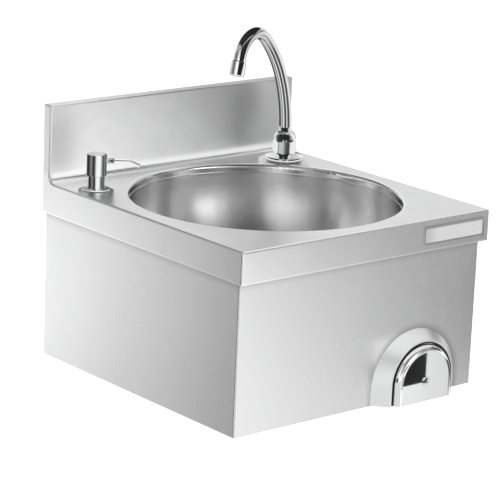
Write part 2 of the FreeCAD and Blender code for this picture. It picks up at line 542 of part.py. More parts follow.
noz = noz.cut(Part.makeCylinder(P["soap_head_radius"], 60, V(0, 0, DK + 10)))
shaped("soap_nozzle", solid_of(noz.removeSplitter()), ("soap_x", 0.0), ("soap_y", 0.0), FreeCAD.Rotation(V(0, 0, 1), P["soap_heading"]))

# ---------------------------------------------------------------- waste outlet
wa = dict(x=0.0, y=("bowl_y", 0.0))
wt = ("waste_thread", 0.0)
turned("waste_gasket_upper", [(24.4, 86.5), (35.0, 86.5), (35.0, 87.5), (24.4, 87.5)], **wa)
turned("waste_body", [(20.0, 20.0), (wt, 20.0), (wt, 52.0), (23.0, 52.0), (23.0, 54.0), (wt, 54.0), (wt, 87.5), (37.0, 87.5), (37.0, 89.0), (35.6, 89.8), (31.0, 89.2), (30.5, 88.6), (20.0, 88.6)],
       rounds={0.6: [10]}, **wa)
sp_ = Part.makeCylinder(30.0, 1.2, V(0, 0, 88.65))
for n_, rr in ((6, 9.5), (12, 16.5), (18, 23.5)):
    for i in range(n_):
        a = 2 * math.pi * (i + 0.5 * (n_ == 12)) / n_
        sp_ = sp_.cut(Part.makeCylinder(2.2, 4, V(rr * math.cos(a), rr * math.sin(a), 87.5)))
sp_ = sp_.cut(Part.makeCylinder(3.1, 4, V(0, 0, 87.5)))
shaped("strainer_plate", solid_of(sp_), **wa)
bar = box(-19.9, 19.9, -4.0, 4.0, 74.0, 80.0).common(Part.makeCylinder(19.95, 10, V(0, 0, 72)))
bar = bar.cut(Part.makeCylinder(3.0, 20, V(0, 0, 70)))
shaped("strainer_bar", solid_of(bar), **wa)
turned("strainer_screw", [(0, 74.5), (2.95, 74.5), (2.95, 89.85), (5.5, 89.85), (4.6, 92.0), (0, 92.0)], rounds={0.7: [4]}, **wa)
turned("waste_gasket_lower", [(24.0, 82.8), (35.5, 82.8), (35.5, 85.3), (24.0, 85.3)], **wa)
wn = hexagon(62.0, 72.8, 82.8).cut(Part.makeCylinder(23.95, 40, V(0, 0, 60)))
shaped("waste_locknut", solid_of(wn), **wa)

# ---------------------------------------------------------------- check and write
doc.recompute()
bad = []
for o in doc.Objects:
    if "Invalid" in o.State or "Error" in o.State:
        bad.append("%s: %s" % (o.Name, o.State))
for label, o in PIECES:
    s = o.Shape
    if s.isNull() or not s.isValid():
        bad.append("%s: shape null or not valid" % label)
    elif s.Volume <= 0 or not s.Solids:
        bad.append("%s: no solid" % label)
if bad:
    raise RuntimeError("; ".join(bad))
os.makedirs("parts", exist_ok=True)
for label, o in PIECES:
    o.Shape.exportStep("parts/%s.step" % label)
    bb = o.Shape.BoundBox
    print("%-20s solids %d vol %9.1f  x %.1f..%.1f y %.1f..%.1f z %.1f..%.1f" % (
        label, len(o.Shape.Solids), o.Shape.Volume, bb.XMin, bb.XMax, bb.YMin, bb.YMax, bb.ZMin, bb.ZMax))
print(len(PIECES), "pieces")
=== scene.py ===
import bpy
import bmesh
import math
from mathutils import Vector, Matrix


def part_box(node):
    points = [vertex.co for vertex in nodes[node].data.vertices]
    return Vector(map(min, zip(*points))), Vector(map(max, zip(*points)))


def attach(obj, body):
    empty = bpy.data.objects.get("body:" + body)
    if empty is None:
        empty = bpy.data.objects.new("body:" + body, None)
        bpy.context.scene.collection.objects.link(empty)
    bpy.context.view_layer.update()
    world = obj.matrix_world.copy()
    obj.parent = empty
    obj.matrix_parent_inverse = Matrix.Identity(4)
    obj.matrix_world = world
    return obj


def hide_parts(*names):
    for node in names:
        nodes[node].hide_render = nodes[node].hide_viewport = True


# Wall-hung stainless steel hand wash sink. Metres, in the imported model's frame: x to the
# right, y into the wall, z up, origin at the centre of the wall screws on the wall plane.

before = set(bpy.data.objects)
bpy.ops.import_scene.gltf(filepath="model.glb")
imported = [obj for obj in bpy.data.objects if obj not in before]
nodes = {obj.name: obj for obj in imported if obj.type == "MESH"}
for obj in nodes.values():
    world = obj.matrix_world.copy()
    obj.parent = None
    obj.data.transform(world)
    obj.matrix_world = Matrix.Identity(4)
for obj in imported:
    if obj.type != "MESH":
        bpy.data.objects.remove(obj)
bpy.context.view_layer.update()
scene = bpy.context.scene

DECK = 0.120                       # top face of the deck
BOWL = Vector((0.0, -0.202, 0.0))  # bowl axis
SPOUT = Vector((0.152, -0.058, 0.0))
SOAP = Vector((-0.168, -0.070, 0.0))
KNEE = Vector((0.093, -0.400, -0.084))


# ------------------------------------------------------------------ material helpers
class Tree:
    """A principled material that is built node by node."""

    def __init__(self, name):
        self.mat = bpy.data.materials.new(name)
        self.mat.use_nodes = True
        self.nt = self.mat.node_tree
        self.nt.nodes.clear()
        self.out = self.nt.nodes.new("ShaderNodeOutputMaterial")
        self.bsdf = self.nt.nodes.new("ShaderNodeBsdfPrincipled")
        self.nt.links.new(self.bsdf.outputs[0], self.out.inputs[0])
        self.coord = self.nt.nodes.new("ShaderNodeTexCoord")

    def put(self, kind, **values):
        n = self.nt.nodes.new(kind)
        for k, v in values.items():
            setattr(n, k, v)
        return n

    def link(self, a, b):
        self.nt.links.new(a, b)
        return b

    def set(self, **values):
        for k, v in values.items():
            self.bsdf.inputs[k.replace("_", " ")].default_value = v

    def mapped(self, scale=(1, 1, 1), rot=(0, 0, 0), loc=(0, 0, 0), src=None):
        m = self.put("ShaderNodeMapping")
        m.inputs["Scale"].default_value = scale
        m.inputs["Rotation"].default_value = rot
        m.inputs["Location"].default_value = loc
        self.link(src or self.coord.outputs["Object"], m.inputs[0])
        return m.outputs[0]

    def noise(self, vec, scale, detail=2.0, rough=0.5, distortion=0.0):
        n = self.put("ShaderNodeTexNoise")
        n.inputs["Scale"].default_value = scale
        n.inputs["Detail"].default_value = detail
        n.inputs["Roughness"].default_value = rough
        n.inputs["Distortion"].default_value = distortion
        self.link(vec, n.inputs["Vector"])
        return n.outputs["Fac"]

    def math(self, op, a, b=None, c=None, clamp=False):
        n = self.put("ShaderNodeMath", operation=op, use_clamp=clamp)
        for i, x in enumerate((a, b, c)):
            if x is None:
                continue
            if isinstance(x, (int, float)):
                n.inputs[i].default_value = x
            else:
                self.link(x, n.inputs[i])
        return n.outputs[0]

    def range(self, v, lo, hi, a, b):
        n = self.put("ShaderNodeMapRange", clamp=True)
        for k, x in (("From Min", lo), ("From Max", hi), ("To Min", a), ("To Max", b)):
            n.inputs[k].default_value = x
        self.link(v, n.inputs["Value"])
        return n.outputs["Result"]

    def mix(self, f, a, b):
        """A mix of two numbers."""
        n = self.put("ShaderNodeMix", data_type="FLOAT")
        for s, x in ((0, f), (2, a), (3, b)):
            if isinstance(x, (int, float)):
                n.inputs[s].default_value = x
            else:
                self.link(x, n.inputs[s])
        return n.outputs[0]

    def colour(self, f, a, b):
        n = self.put("ShaderNodeMix", data_type="RGBA")
        self.link(f, n.inputs[0])
        for s, x in ((6, a), (7, b)):
            if isinstance(x, (tuple, list)):
                n.inputs[s].default_value = (*x, 1.0)
            else:
                self.link(x, n.inputs[s])
        return n.outputs[2]

    def bump(self, height, strength, distance, normal=None):
        n = self.put("ShaderNodeBump")
        n.inputs["Strength"].default_value = strength
        n.inputs["Distance"].default_value = distance
        self.link(height, n.inputs["Height"])
        if normal is not None:
            self.link(normal, n.inputs["Normal"])
        return n.outputs[0]


def sheet_steel(name, tone=0.80, rough=0.25, aniso=0.3, deck_grain="Y", streak=1.0, lip=False, painted_shadows=False, shade_span=None):
    """Brushed sheet: fine grain that runs vertically on upright faces and along one way on flat ones.
    lip: the edge that turns down into the bowl is polished, and the worktop gets a painted highlight along the rim's
    folded edge and painted light gradients across the deck and splashback. painted_shadows: painted shadow below the
    rim and round the knee opening."""
    t = Tree(name)
    normal = t.put("ShaderNodeSeparateXYZ")
    t.link(t.coord.outputs["Normal"], normal.inputs[0])
    flat = t.math("GREATER_THAN", t.math("ABSOLUTE", normal.outputs[2]), 0.72)
    long_ = 0.010
    up = (1, 1, long_)
    lie = (1, long_, 1) if deck_grain == "Y" else (long_, 1, 1)
    fine = t.mix(flat, t.noise(t.mapped(up), 5200, 2.0, 0.6), t.noise(t.mapped(lie), 5200, 2.0, 0.6))
    mid = t.mix(flat, t.noise(t.mapped(up), 900, 3.0, 0.6), t.noise(t.mapped(lie), 900, 3.0, 0.6))
    wide = t.noise(t.mapped((1, 1, 0.35)), 14, 3.0, 0.55)
    smear = t.noise(t.mapped((1, 1, 1), loc=(3, 1, 2)), 45, 4.0, 0.6)
    grain = t.math("ADD", t.math("MULTIPLY", fine, 0.6), t.math("MULTIPLY", mid, 0.4))
    r = t.math("ADD", t.range(grain, 0.35, 0.65, rough - 0.015 * streak, rough + 0.015 * streak),
               t.range(wide, 0.3, 0.7, -0.015, 0.015))
    r = t.math("ADD", r, t.range(smear, 0.35, 0.75, 0.0, 0.02))
    c = t.colour(t.range(grain, 0.36, 0.64, 0.0, 1.0), (tone * 0.968, tone * 0.970, tone * 0.973), (tone, tone * 1.0, tone * 1.003))
    pos = t.put("ShaderNodeSeparateXYZ")
    t.link(t.coord.outputs["Object"], pos.inputs[0])
    if lip:
        dy = t.math("SUBTRACT", pos.outputs[1], BOWL.y)
        radius = t.math("SQRT", t.math("ADD", t.math("MULTIPLY", pos.outputs[0], pos.outputs[0]), t.math("MULTIPLY", dy, dy)))
        rim = t.range(radius, 0.1762, 0.1772, 1.0, 0.0)
        # painted light: the worktop's colour is painted lighter to the left and darker to the right
        drift = t.range(t.math("ADD", pos.outputs[0], t.range(wide, 0.3, 0.7, -0.04, 0.04)), -0.2, 0.2, 0.0, 1.0)
        c = t.colour(t.range(grain, 0.36, 0.64, 0.0, 1.0), t.colour(drift, (0.845, 0.846, 0.848), (0.71, 0.711, 0.713)), t.colour(drift, (0.87, 0.871, 0.873), (0.735, 0.736, 0.738)))
        r = t.math("ADD", r, t.math("MULTIPLY", flat, 0.10))
        # painted highlight: a thin band along the folded edge at the bottom of the rim is painted white
        c = t.colour(t.range(pos.outputs[2], 0.0812, 0.0820, 1.0, 0.0), c, (1.0, 1.0, 1.0))
        r = t.mix(rim, r, t.range(smear, 0.35, 0.75, 0.09, 0.13))
        c = t.colour(rim, c, (0.87, 0.872, 0.875))
        # the splashback is rougher than the deck, and its colour is a painted light gradient: painted bright by the
        # corner at the pump and darker away from it
        wall = t.math("MULTIPLY", t.math("GREATER_THAN", pos.outputs[1], -0.0150), t.range(pos.outputs[2], 0.1275, 0.134, 0.0, 1.0))
        r = t.mix(wall, r, t.math("ADD", r, 0.22))
        at = t.math("ADD", pos.outputs[0], t.range(smear, 0.3, 0.7, -0.015, 0.015))
        painted_splash_light = t.colour(t.range(at, -0.15, 0.04, 0.0, 1.0), (0.99, 0.99, 0.99), (0.68, 0.682, 0.685))
        painted_splash_light = t.colour(t.range(at, 0.04, 0.20, 0.0, 1.0), painted_splash_light, (0.65, 0.652, 0.655))
        c = t.colour(wall, c, painted_splash_light)
    # painted shade: the colour is painted darker towards the low end of the given span along x
    if shade_span:
        c = t.colour(t.range(t.math("ADD", pos.outputs[0], t.range(wide, 0.3, 0.7, -0.003, 0.003)), shade_span[0], shade_span[1], 1.0, 0.0), c, (tone * 0.70, tone * 0.70, tone * 0.705))
    # painted shadow: the casing is painted darker just below the rim and in a ring round the knee collar on the front
    # face
    if painted_shadows:
        rim_shadow = t.range(pos.outputs[2], 0.066, 0.0800, 0.0, 1.0)
        rim_shadow = t.math("MULTIPLY", rim_shadow, rim_shadow)
        px = t.math("SUBTRACT", pos.outputs[0], KNEE.x)
        pz = t.math("MAXIMUM", t.math("ADD", pos.outputs[2], 0.092), 0.0)
        q = t.math("SQRT", t.math("ADD", t.math("MULTIPLY", px, px), t.math("MULTIPLY", pz, pz)))
        near = t.range(q, 0.0705, 0.083, 1.0, 0.0)
        near = t.math("MULTIPLY", t.math("MULTIPLY", near, near), t.math("LESS_THAN", pos.outputs[1], -0.385))
        c = t.colour(t.math("MAXIMUM", rim_shadow, near), c, (tone * 0.60, tone * 0.60, tone * 0.61))
    t.link(r, t.bsdf.inputs["Roughness"])
    t.link(c, t.bsdf.inputs["Base Color"])
    t.link(t.bump(grain, 0.018 * streak, 0.00006, t.bump(wide, 0.08, 0.00012)), t.bsdf.inputs["Normal"])
    # the sheen is stretched across the grain
    g = t.put("ShaderNodeCombineXYZ")
    k = 1 if deck_grain == "Y" else 0
    t.link(flat, g.inputs[k])
    t.link(t.math("SUBTRACT", 1.0, flat), g.inputs[2])
    geo = t.put("ShaderNodeNewGeometry")
    cr = t.put("ShaderNodeVectorMath", operation="CROSS_PRODUCT")
    t.link(geo.outputs["Normal"], cr.inputs[0])
    t.link(g.outputs[0], cr.inputs[1])
    t.link(cr.outputs[0], t.bsdf.inputs["Tangent"])
    t.set(Metallic=1.0, Anisotropic=aniso)
    return t.mat


def bowl_steel(name, tone=0.78, rough=0.24, aniso=0.88):
    """Spun satin bowl: grain runs round the axis, with a polished band at the lip."""
    t = Tree(name)
    ctr = t.mapped((1, 1, 1), loc=(0.0, 0.202, 0.0))
    sep = t.put("ShaderNodeSeparateXYZ")
    t.link(ctr, sep.inputs[0])
    radius = t.math("SQRT", t.math("ADD", t.math("MULTIPLY", sep.outputs[0], sep.outputs[0]),
                                   t.math("MULTIPLY", sep.outputs[1], sep.outputs[1])))
    prof = t.put("ShaderNodeCombineXYZ")
    t.link(radius, prof.inputs[0])
    t.link(sep.outputs[2], prof.inputs[2])
    rings = t.noise(prof.outputs[0], 2600, 2.0, 0.6)
    rings2 = t.noise(prof.outputs[0], 420, 2.0, 0.6)
    grain = t.math("ADD", t.math("MULTIPLY", rings, 0.6), t.math("MULTIPLY", rings2, 0.4))
    cloud = t.noise(t.mapped((1, 1, 1), loc=(1, 2, 3)), 22, 4.0, 0.6)
    lip = t.range(sep.outputs[2], 0.104, 0.108, 0.0, 1.0)
    base = t.math("ADD", t.range(grain, 0.35, 0.65, rough - 0.02, rough + 0.02), t.range(cloud, 0.3, 0.7, -0.015, 0.02))
    t.link(t.mix(lip, base, 0.14), t.bsdf.inputs["Roughness"])
    t.link(t.colour(t.range(grain, 0.36, 0.64, 0, 1), (tone * 0.965,) * 3, (tone,) * 3), t.bsdf.inputs["Base Color"])
    t.link(t.bump(grain, 0.025, 0.00005), t.bsdf.inputs["Normal"])
    tan = t.put("ShaderNodeTangent", direction_type="RADIAL", axis="Z")
    t.link(tan.outputs[0], t.bsdf.inputs["Tangent"])
    t.set(Metallic=1.0, Anisotropic=aniso, Anisotropic_Rotation=0.25)
    return t.mat


def polished(name, tone=(0.86, 0.865, 0.87), rough=0.07, smear=0.05, scratch=0.03, grain=(1, 1, 1)):
    """Polished or plated metal with faint wipe marks."""
    t = Tree(name)
    cloud = t.noise(t.mapped(loc=(2, 5, 1)), 60, 4.0, 0.6)
    hair = t.noise(t.mapped(grain), 1800, 3.0, 0.7)
    r = t.math("ADD", t.range(cloud, 0.35, 0.75, rough, rough + smear), t.range(hair, 0.45, 0.8, 0.0, 0.3 * smear))
    t.link(r, t.bsdf.inputs["Roughness"])
    t.link(t.colour(t.range(cloud, 0.3, 0.8, 0, 1), tone, tuple(x * 0.965 for x in tone)), t.bsdf.inputs["Base Color"])
    t.link(t.bump(hair, scratch, 0.00002), t.bsdf.inputs["Normal"])
    t.set(Metallic=1.0)
    return t.mat


def pressed(name, tone, rough, shaded_inside):
    """Pressed and linished cover: satin outside; the faces that look inwards can be painted near black, a painted
    shade.
    """
    t = Tree(name)
    cloud = t.noise(t.mapped(loc=(1, 4, 2)), 40, 4.0, 0.6)
    hair = t.noise(t.mapped((1, 0.05, 1)), 2600, 3.0, 0.65)
    t.link(t.math("ADD", t.range(cloud, 0.35, 0.75, rough, rough + 0.04), t.range(hair, 0.4, 0.7, -0.02, 0.02)), t.bsdf.inputs["Roughness"])
    pos, nor = t.put("ShaderNodeSeparateXYZ"), t.put("ShaderNodeSeparateXYZ")
    t.link(t.coord.outputs["Object"], pos.inputs[0])
    t.link(t.coord.outputs["Normal"], nor.inputs[0])
    c = t.colour(t.range(cloud, 0.3, 0.8, 0, 1), tone, tuple(x * 0.97 for x in tone))
    if shaded_inside:
        # painted shade: the faces that look in towards the knee opening are painted near black
        dx = t.math("MULTIPLY", t.math("SUBTRACT", pos.outputs[0], KNEE.x), nor.outputs[0])
        dz = t.math("MULTIPLY", t.math("MAXIMUM", t.math("ADD", pos.outputs[2], 0.090), 0.0), nor.outputs[2])
        inward_shade = t.math("LESS_THAN", t.math("ADD", dx, dz), -0.012)
        c = t.colour(inward_shade, c, (0.015, 0.015, 0.016))
    t.link(c, t.bsdf.inputs["Base Color"])
    t.link(t.bump(hair, 0.03, 0.00003), t.bsdf.inputs["Normal"])
    t.set(Metallic=1.0)
    return t.mat


def turned(name, tone, rough=0.3, axis="Z", centre=(0, 0, 0), step=1400.0, metallic=1.0, cast=0.0):
    """Machined metal with tool rings round an axis; cast adds the grain of a casting."""
    t = Tree(name)
    p = t.mapped(loc=tuple(-x for x in centre))
    sep = t.put("ShaderNodeSeparateXYZ")
    t.link(p, sep.inputs[0])
    a, b, c = {"Z": (0, 1, 2), "Y": (0, 2, 1), "X": (1, 2, 0)}[axis]
    rad = t.math("SQRT", t.math("ADD", t.math("MULTIPLY", sep.outputs[a], sep.outputs[a]),
                                t.math("MULTIPLY", sep.outputs[b], sep.outputs[b])))
    prof = t.put("ShaderNodeCombineXYZ")
    t.link(rad, prof.inputs[0])
    t.link(sep.outputs[c], prof.inputs[1])
    rings = t.noise(prof.outputs[0], step, 2.0, 0.6)
    cloud = t.noise(t.mapped(loc=(4, 1, 7)), 70, 5.0, 0.6)
    grit = t.noise(t.mapped(), 1500, 3.0, 0.6)
    t.link(t.math("ADD", t.range(rings, 0.35, 0.65, rough - 0.06, rough + 0.06), t.range(cloud, 0.3, 0.7, -0.03, 0.06)),
           t.bsdf.inputs["Roughness"])
    t.link(t.colour(t.range(cloud, 0.3, 0.75, 0, 1), tone, tuple(x * 0.8 for x in tone)), t.bsdf.inputs["Base Color"])
    h = t.math("ADD", t.math("MULTIPLY", rings, 1.0 - cast), t.math("MULTIPLY", grit, cast))
    t.link(t.bump(h, 0.15 + 0.35 * cast, 0.00006), t.bsdf.inputs["Normal"])
    t.set(Metallic=metallic)
    return t.mat


def moulded(name, tone, rough=0.45, transmission=0.0, rubber=False):
    """Moulded plastic or rubber with a fine mould texture and slight tone drift."""
    t = Tree(name)
    grit = t.noise(t.mapped(), 2200 if rubber else 1300, 4.0, 0.65)
    cloud = t.noise(t.mapped(loc=(5, 2, 8)), 55, 4.0, 0.6)
    t.link(t.math("ADD", t.range(cloud, 0.3, 0.7, rough - 0.05, rough + 0.06), t.range(grit, 0.4, 0.7, -0.02, 0.05)), t.bsdf.inputs["Roughness"])
    t.link(t.colour(t.range(cloud, 0.3, 0.75, 0, 1), tone, tuple(x * 0.88 for x in tone)), t.bsdf.inputs["Base Color"])
    t.link(t.bump(grit, 0.12 if not rubber else 0.3, 0.00008), t.bsdf.inputs["Normal"])
    if transmission:
        t.bsdf.inputs["Transmission Weight"].default_value = transmission
        t.bsdf.inputs["IOR"].default_value = 1.46
    return t.mat


# the plate's panel is painted darker towards its left end, a painted shade, between these two places along x
pl_lo, pl_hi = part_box("front_plate")
PLATE_SHADE_SPAN = (pl_lo[0], pl_lo[0] + 0.028)

M = {
    "deck": sheet_steel("brushed_worktop", lip=True),
    "sheet": sheet_steel("brushed_casing", painted_shadows=True),
    "collar": pressed("satin_collar", (0.90, 0.903, 0.907), 0.38, True),
    "pad": pressed("polished_pad", (0.87, 0.873, 0.877), 0.085, False),
    "bowl": bowl_steel("spun_bowl"),
    "mill": sheet_steel("mill_sheet", 0.62, 0.42, 0.3, "X"),
    "plate": sheet_steel("satin_plate", 0.99, 0.52, 0.2, "X", 0.6, shade_span=PLATE_SHADE_SPAN),
    "plate_edge": sheet_steel("plate_border", 0.50, 0.30, 0.3, "X", 0.5),
    "polish": polished("polished_steel", (0.84, 0.845, 0.85), 0.10, 0.05),
    "chrome": polished("chrome_plate", (0.92, 0.925, 0.93), 0.012, 0.012, 0.0),
    "turned_knee": turned("turned_steel_knee", (0.70, 0.70, 0.71), 0.25, "Y", (0.093, 0, -0.084)),
    "turned_soap": turned("turned_steel_soap", (0.75, 0.75, 0.76), 0.2, "Z", tuple(SOAP)),
    "turned_hose": turned("turned_ferrule", (0.72, 0.72, 0.73), 0.25, "Z", (0.1, -0.1, 0)),
    "brass_knee": turned("brass_knee", (0.78, 0.60, 0.30), 0.30, "Y", (0.093, 0, -0.084)),
    "brass_cast": turned("brass_cast", (0.72, 0.55, 0.27), 0.38, "X", (0.093, -0.33, -0.081), cast=0.85),
    "brass_spout": turned("brass_spout", (0.78, 0.60, 0.30), 0.28, "Z", tuple(SPOUT)),
    "brass_soap": turned("brass_soap", (0.78, 0.60, 0.30), 0.28, "Z", tuple(SOAP)),
    "brass_hose": turned("brass_hose", (0.78, 0.60, 0.30), 0.28, "Z", (0.093, -0.3, 0)),
    "rubber": moulded("black_rubber", (0.022, 0.022, 0.023), 0.62, rubber=True),
    "spring": turned("spring_wire", (0.55, 0.55, 0.57), 0.25, "Y", (0.093, 0, -0.084)),
    "white": moulded("white_plastic", (0.84, 0.84, 0.82), 0.38),
    "clear": moulded("clouded_plastic", (0.86, 0.87, 0.86), 0.32, transmission=0.7),
    "braid": turned("braid_plain", (0.6, 0.6, 0.61), 0.3, "Z", (0, 0, 0)),
}

FINISH = {
    "deck": ["worktop"], "sheet": ["casing"], "bowl": ["bowl"], "mill": ["rear_rail", "valve_bracket", "spout_washer", "strainer_bar"],
    "plate": ["front_plate"], "collar": ["knee_collar"], "pad": ["knee_pad"],
    "polish": ["pad_screw", "strainer_plate", "strainer_screw", "waste_body"],
    "turned_knee": ["pad_hub", "valve_stem"], "turned_soap": ["pump_stem"], "turned_hose": ["hose_ferrules"],
    "chrome": ["spout_flange", "spout_shank", "spout_cap", "spout_tube", "aerator_housing", "soap_flange", "soap_sleeve", "soap_head", "soap_nozzle"],
    "brass_cast": ["valve_body"], "brass_knee": ["valve_bonnet", "valve_poppet"], "brass_hose": ["outlet_elbow", "hose_nut_lower", "hose_nut_upper"],
    "brass_spout": ["spout_locknut"], "brass_soap": ["soap_locknut"],
    "rubber": ["poppet_seal", "stem_seal", "spout_gasket", "tube_seal", "aerator_washer", "soap_gasket", "waste_gasket_upper", "waste_gasket_lower"],
    "spring": ["return_spring", "pump_spring"],
    "white": ["non_return_valves", "aerator_insert", "pump_cylinder", "dip_tube", "tube_collar", "waste_locknut"],
    "clear": ["soap_bottle"], "braid": ["supply_hose"],
}
for key, names in FINISH.items():
    for n in names:
        o = nodes[n]
        o.data.materials.clear()
        o.data.materials.append(M[key])


# ------------------------------------------------------------------ camera
def camera():
    yaw, pit, rol = 0.70134, -0.26472, 0.04245
    fwd = Vector((math.sin(yaw) * math.cos(pit), math.cos(yaw) * math.cos(pit), math.sin(pit)))
    right = Vector((math.cos(yaw), -math.sin(yaw), 0.0))
    up = right.cross(fwd)
    r2 = right * math.cos(rol) + up * math.sin(rol)
    u2 = up * math.cos(rol) - right * math.sin(rol)
    cam = bpy.data.cameras.new("camera")
    cam.sensor_width = 36.0
    cam.lens = 36.0 * 2407.78 / 500.0
    cam.clip_start, cam.clip_end = 0.05, 100.0
    ob = bpy.data.objects.new("camera", cam)
    scene.collection.objects.link(ob)
    m = Matrix((( r2.x, u2.x, -fwd.x), (r2.y, u2.y, -fwd.y), (r2.z, u2.z, -fwd.z))).to_4x4()
    m.translation = Vector((-1.91275, -2.44024, 0.84587))
    ob.matrix_world = m
    scene.camera = ob


camera()


# ------------------------------------------------------------------ stage
def quad(name, centre, u, v, mat, cam_sees=False):
    """A flat card of the stage from its centre and two half-sides, seen only in reflections."""
    c, u, v = Vector(centre), Vector(u), Vector(v)
    me = bpy.data.meshes.new(name)
    me.from_pydata([c - u - v, c + u - v, c + u + v, c - u + v], [], [(0, 1, 2, 3)])
    uv = me.uv_layers.new(name="UVMap")
    for i, co in enumerate(((0, 0), (1, 0), (1, 1), (0, 1))):
        uv.data[i].uv = co
    me.materials.append(mat)
    ob = bpy.data.objects.new(name, me)
    scene.collection.objects.link(ob)
    ob.visible_camera = cam_sees
    ob.visible_shadow = cam_sees
    return ob


def card_mat(name, stops, strength=1.0, axis=0):
    """Light card with a soft ramp along one of its sides."""
    mat = bpy.data.materials.new(name)
    mat.use_nodes = True
    nt = mat.node_tree
    nt.nodes.clear()
    out = nt.nodes.new("ShaderNodeOutputMaterial")
    em = nt.nodes.new("ShaderNodeEmission")
    em.inputs[1].default_value = strength
    tc = nt.nodes.new("ShaderNodeTexCoord")
    sp = nt.nodes.new("ShaderNodeSeparateXYZ")
    nt.links.new(tc.outputs["UV"], sp.inputs[0])
    ramp = nt.nodes.new("ShaderNodeValToRGB")
    el = ramp.color_ramp.elements
    ramp.color_ramp.interpolation = "EASE"
    while len(el) > len(stops):
        el.remove(el[-1])
    while len(el) < len(stops):
        el.new(1.0)
    for e, (p, g) in zip(el, stops):
        e.position = p
        e.color = (g, g, g, 1)
    nt.links.new(sp.outputs[axis], ramp.inputs[0])
    nt.links.new(ramp.outputs[0], em.inputs[0])
    nt.links.new(em.outputs[0], out.inputs[0])
    return mat


# floor at the height that it has below such a sink on its wall
FLOOR = -1.0
fm = Tree("pale_floor")
fn = fm.noise(fm.mapped(), 3.0, 3.0)
fm.link(fm.colour(fn, (0.90, 0.90, 0.90), (0.93, 0.93, 0.93)), fm.bsdf.inputs["Base Color"])
fm.link(fm.range(fn, 0.3, 0.7, 0.7, 0.8), fm.bsdf.inputs["Roughness"])
fm.bsdf.inputs["Emission Color"].default_value = (1, 1, 1, 1)
fl_eye = fm.put("ShaderNodeLightPath")
fm.link(fm.range(fl_eye.outputs["Is Camera Ray"], 0.0, 1.0, 0.05, 0.66), fm.bsdf.inputs["Emission Strength"])
fl = quad("floor", (0, 0, FLOOR), (14, 0, 0), (0, 14, 0), fm.mat, True)

def stops(ramp, pairs):
    el = ramp.elements
    while len(el) < len(pairs):
        el.new(1.0)
    while len(el) > len(pairs):
        el.remove(el[-1])
    for e, (p, g) in zip(el, pairs):
        e.position = p
        e.color = (g, g, g, 1)


def compass(nt, x, y):
    """Node output: the compass angle of (x, y) as 0..1, where 0.5 is straight in front and more is to the right."""
    neg, at, mr = (nt.nodes.new("ShaderNodeMath"), nt.nodes.new("ShaderNodeMath"), nt.nodes.new("ShaderNodeMapRange"))
    neg.operation, at.operation = "MULTIPLY", "ARCTAN2"
    neg.inputs[1].default_value = -1.0
    nt.links.new(y, neg.inputs[0])
    nt.links.new(x, at.inputs[0])
    nt.links.new(neg.outputs[0], at.inputs[1])
    mr.inputs["From Min"].default_value = -math.pi
    mr.inputs["From Max"].default_value = math.pi
    nt.links.new(at.outputs[0], mr.inputs["Value"])
    return mr.outputs[0]


def bands(nt, angle, level, rows):
    """Node output: brightness by compass angle in level bands. rows: (level where it starts, softness, [(degrees, brightness)])."""
    last = None
    for start, soft, pairs in rows:
        r = nt.nodes.new("ShaderNodeValToRGB")
        r.color_ramp.interpolation = "EASE"
        stops(r.color_ramp, [((d + 180) / 360, g) for d, g in pairs])
        nt.links.new(angle, r.inputs[0])
        if last is None:
            last = r.outputs[0]
            continue
        z = nt.nodes.new("ShaderNodeMapRange")
        z.interpolation_type = "SMOOTHSTEP"
        z.inputs["From Min"].default_value = start - soft
        z.inputs["From Max"].default_value = start + soft
        nt.links.new(level, z.inputs["Value"])
        mx = nt.nodes.new("ShaderNodeMix")
        mx.data_type = "RGBA"
        nt.links.new(z.outputs[0], mx.inputs[0])
        nt.links.new(last, mx.inputs[6])
        nt.links.new(r.outputs[0], mx.inputs[7])
        last = mx.outputs[2]
    return last


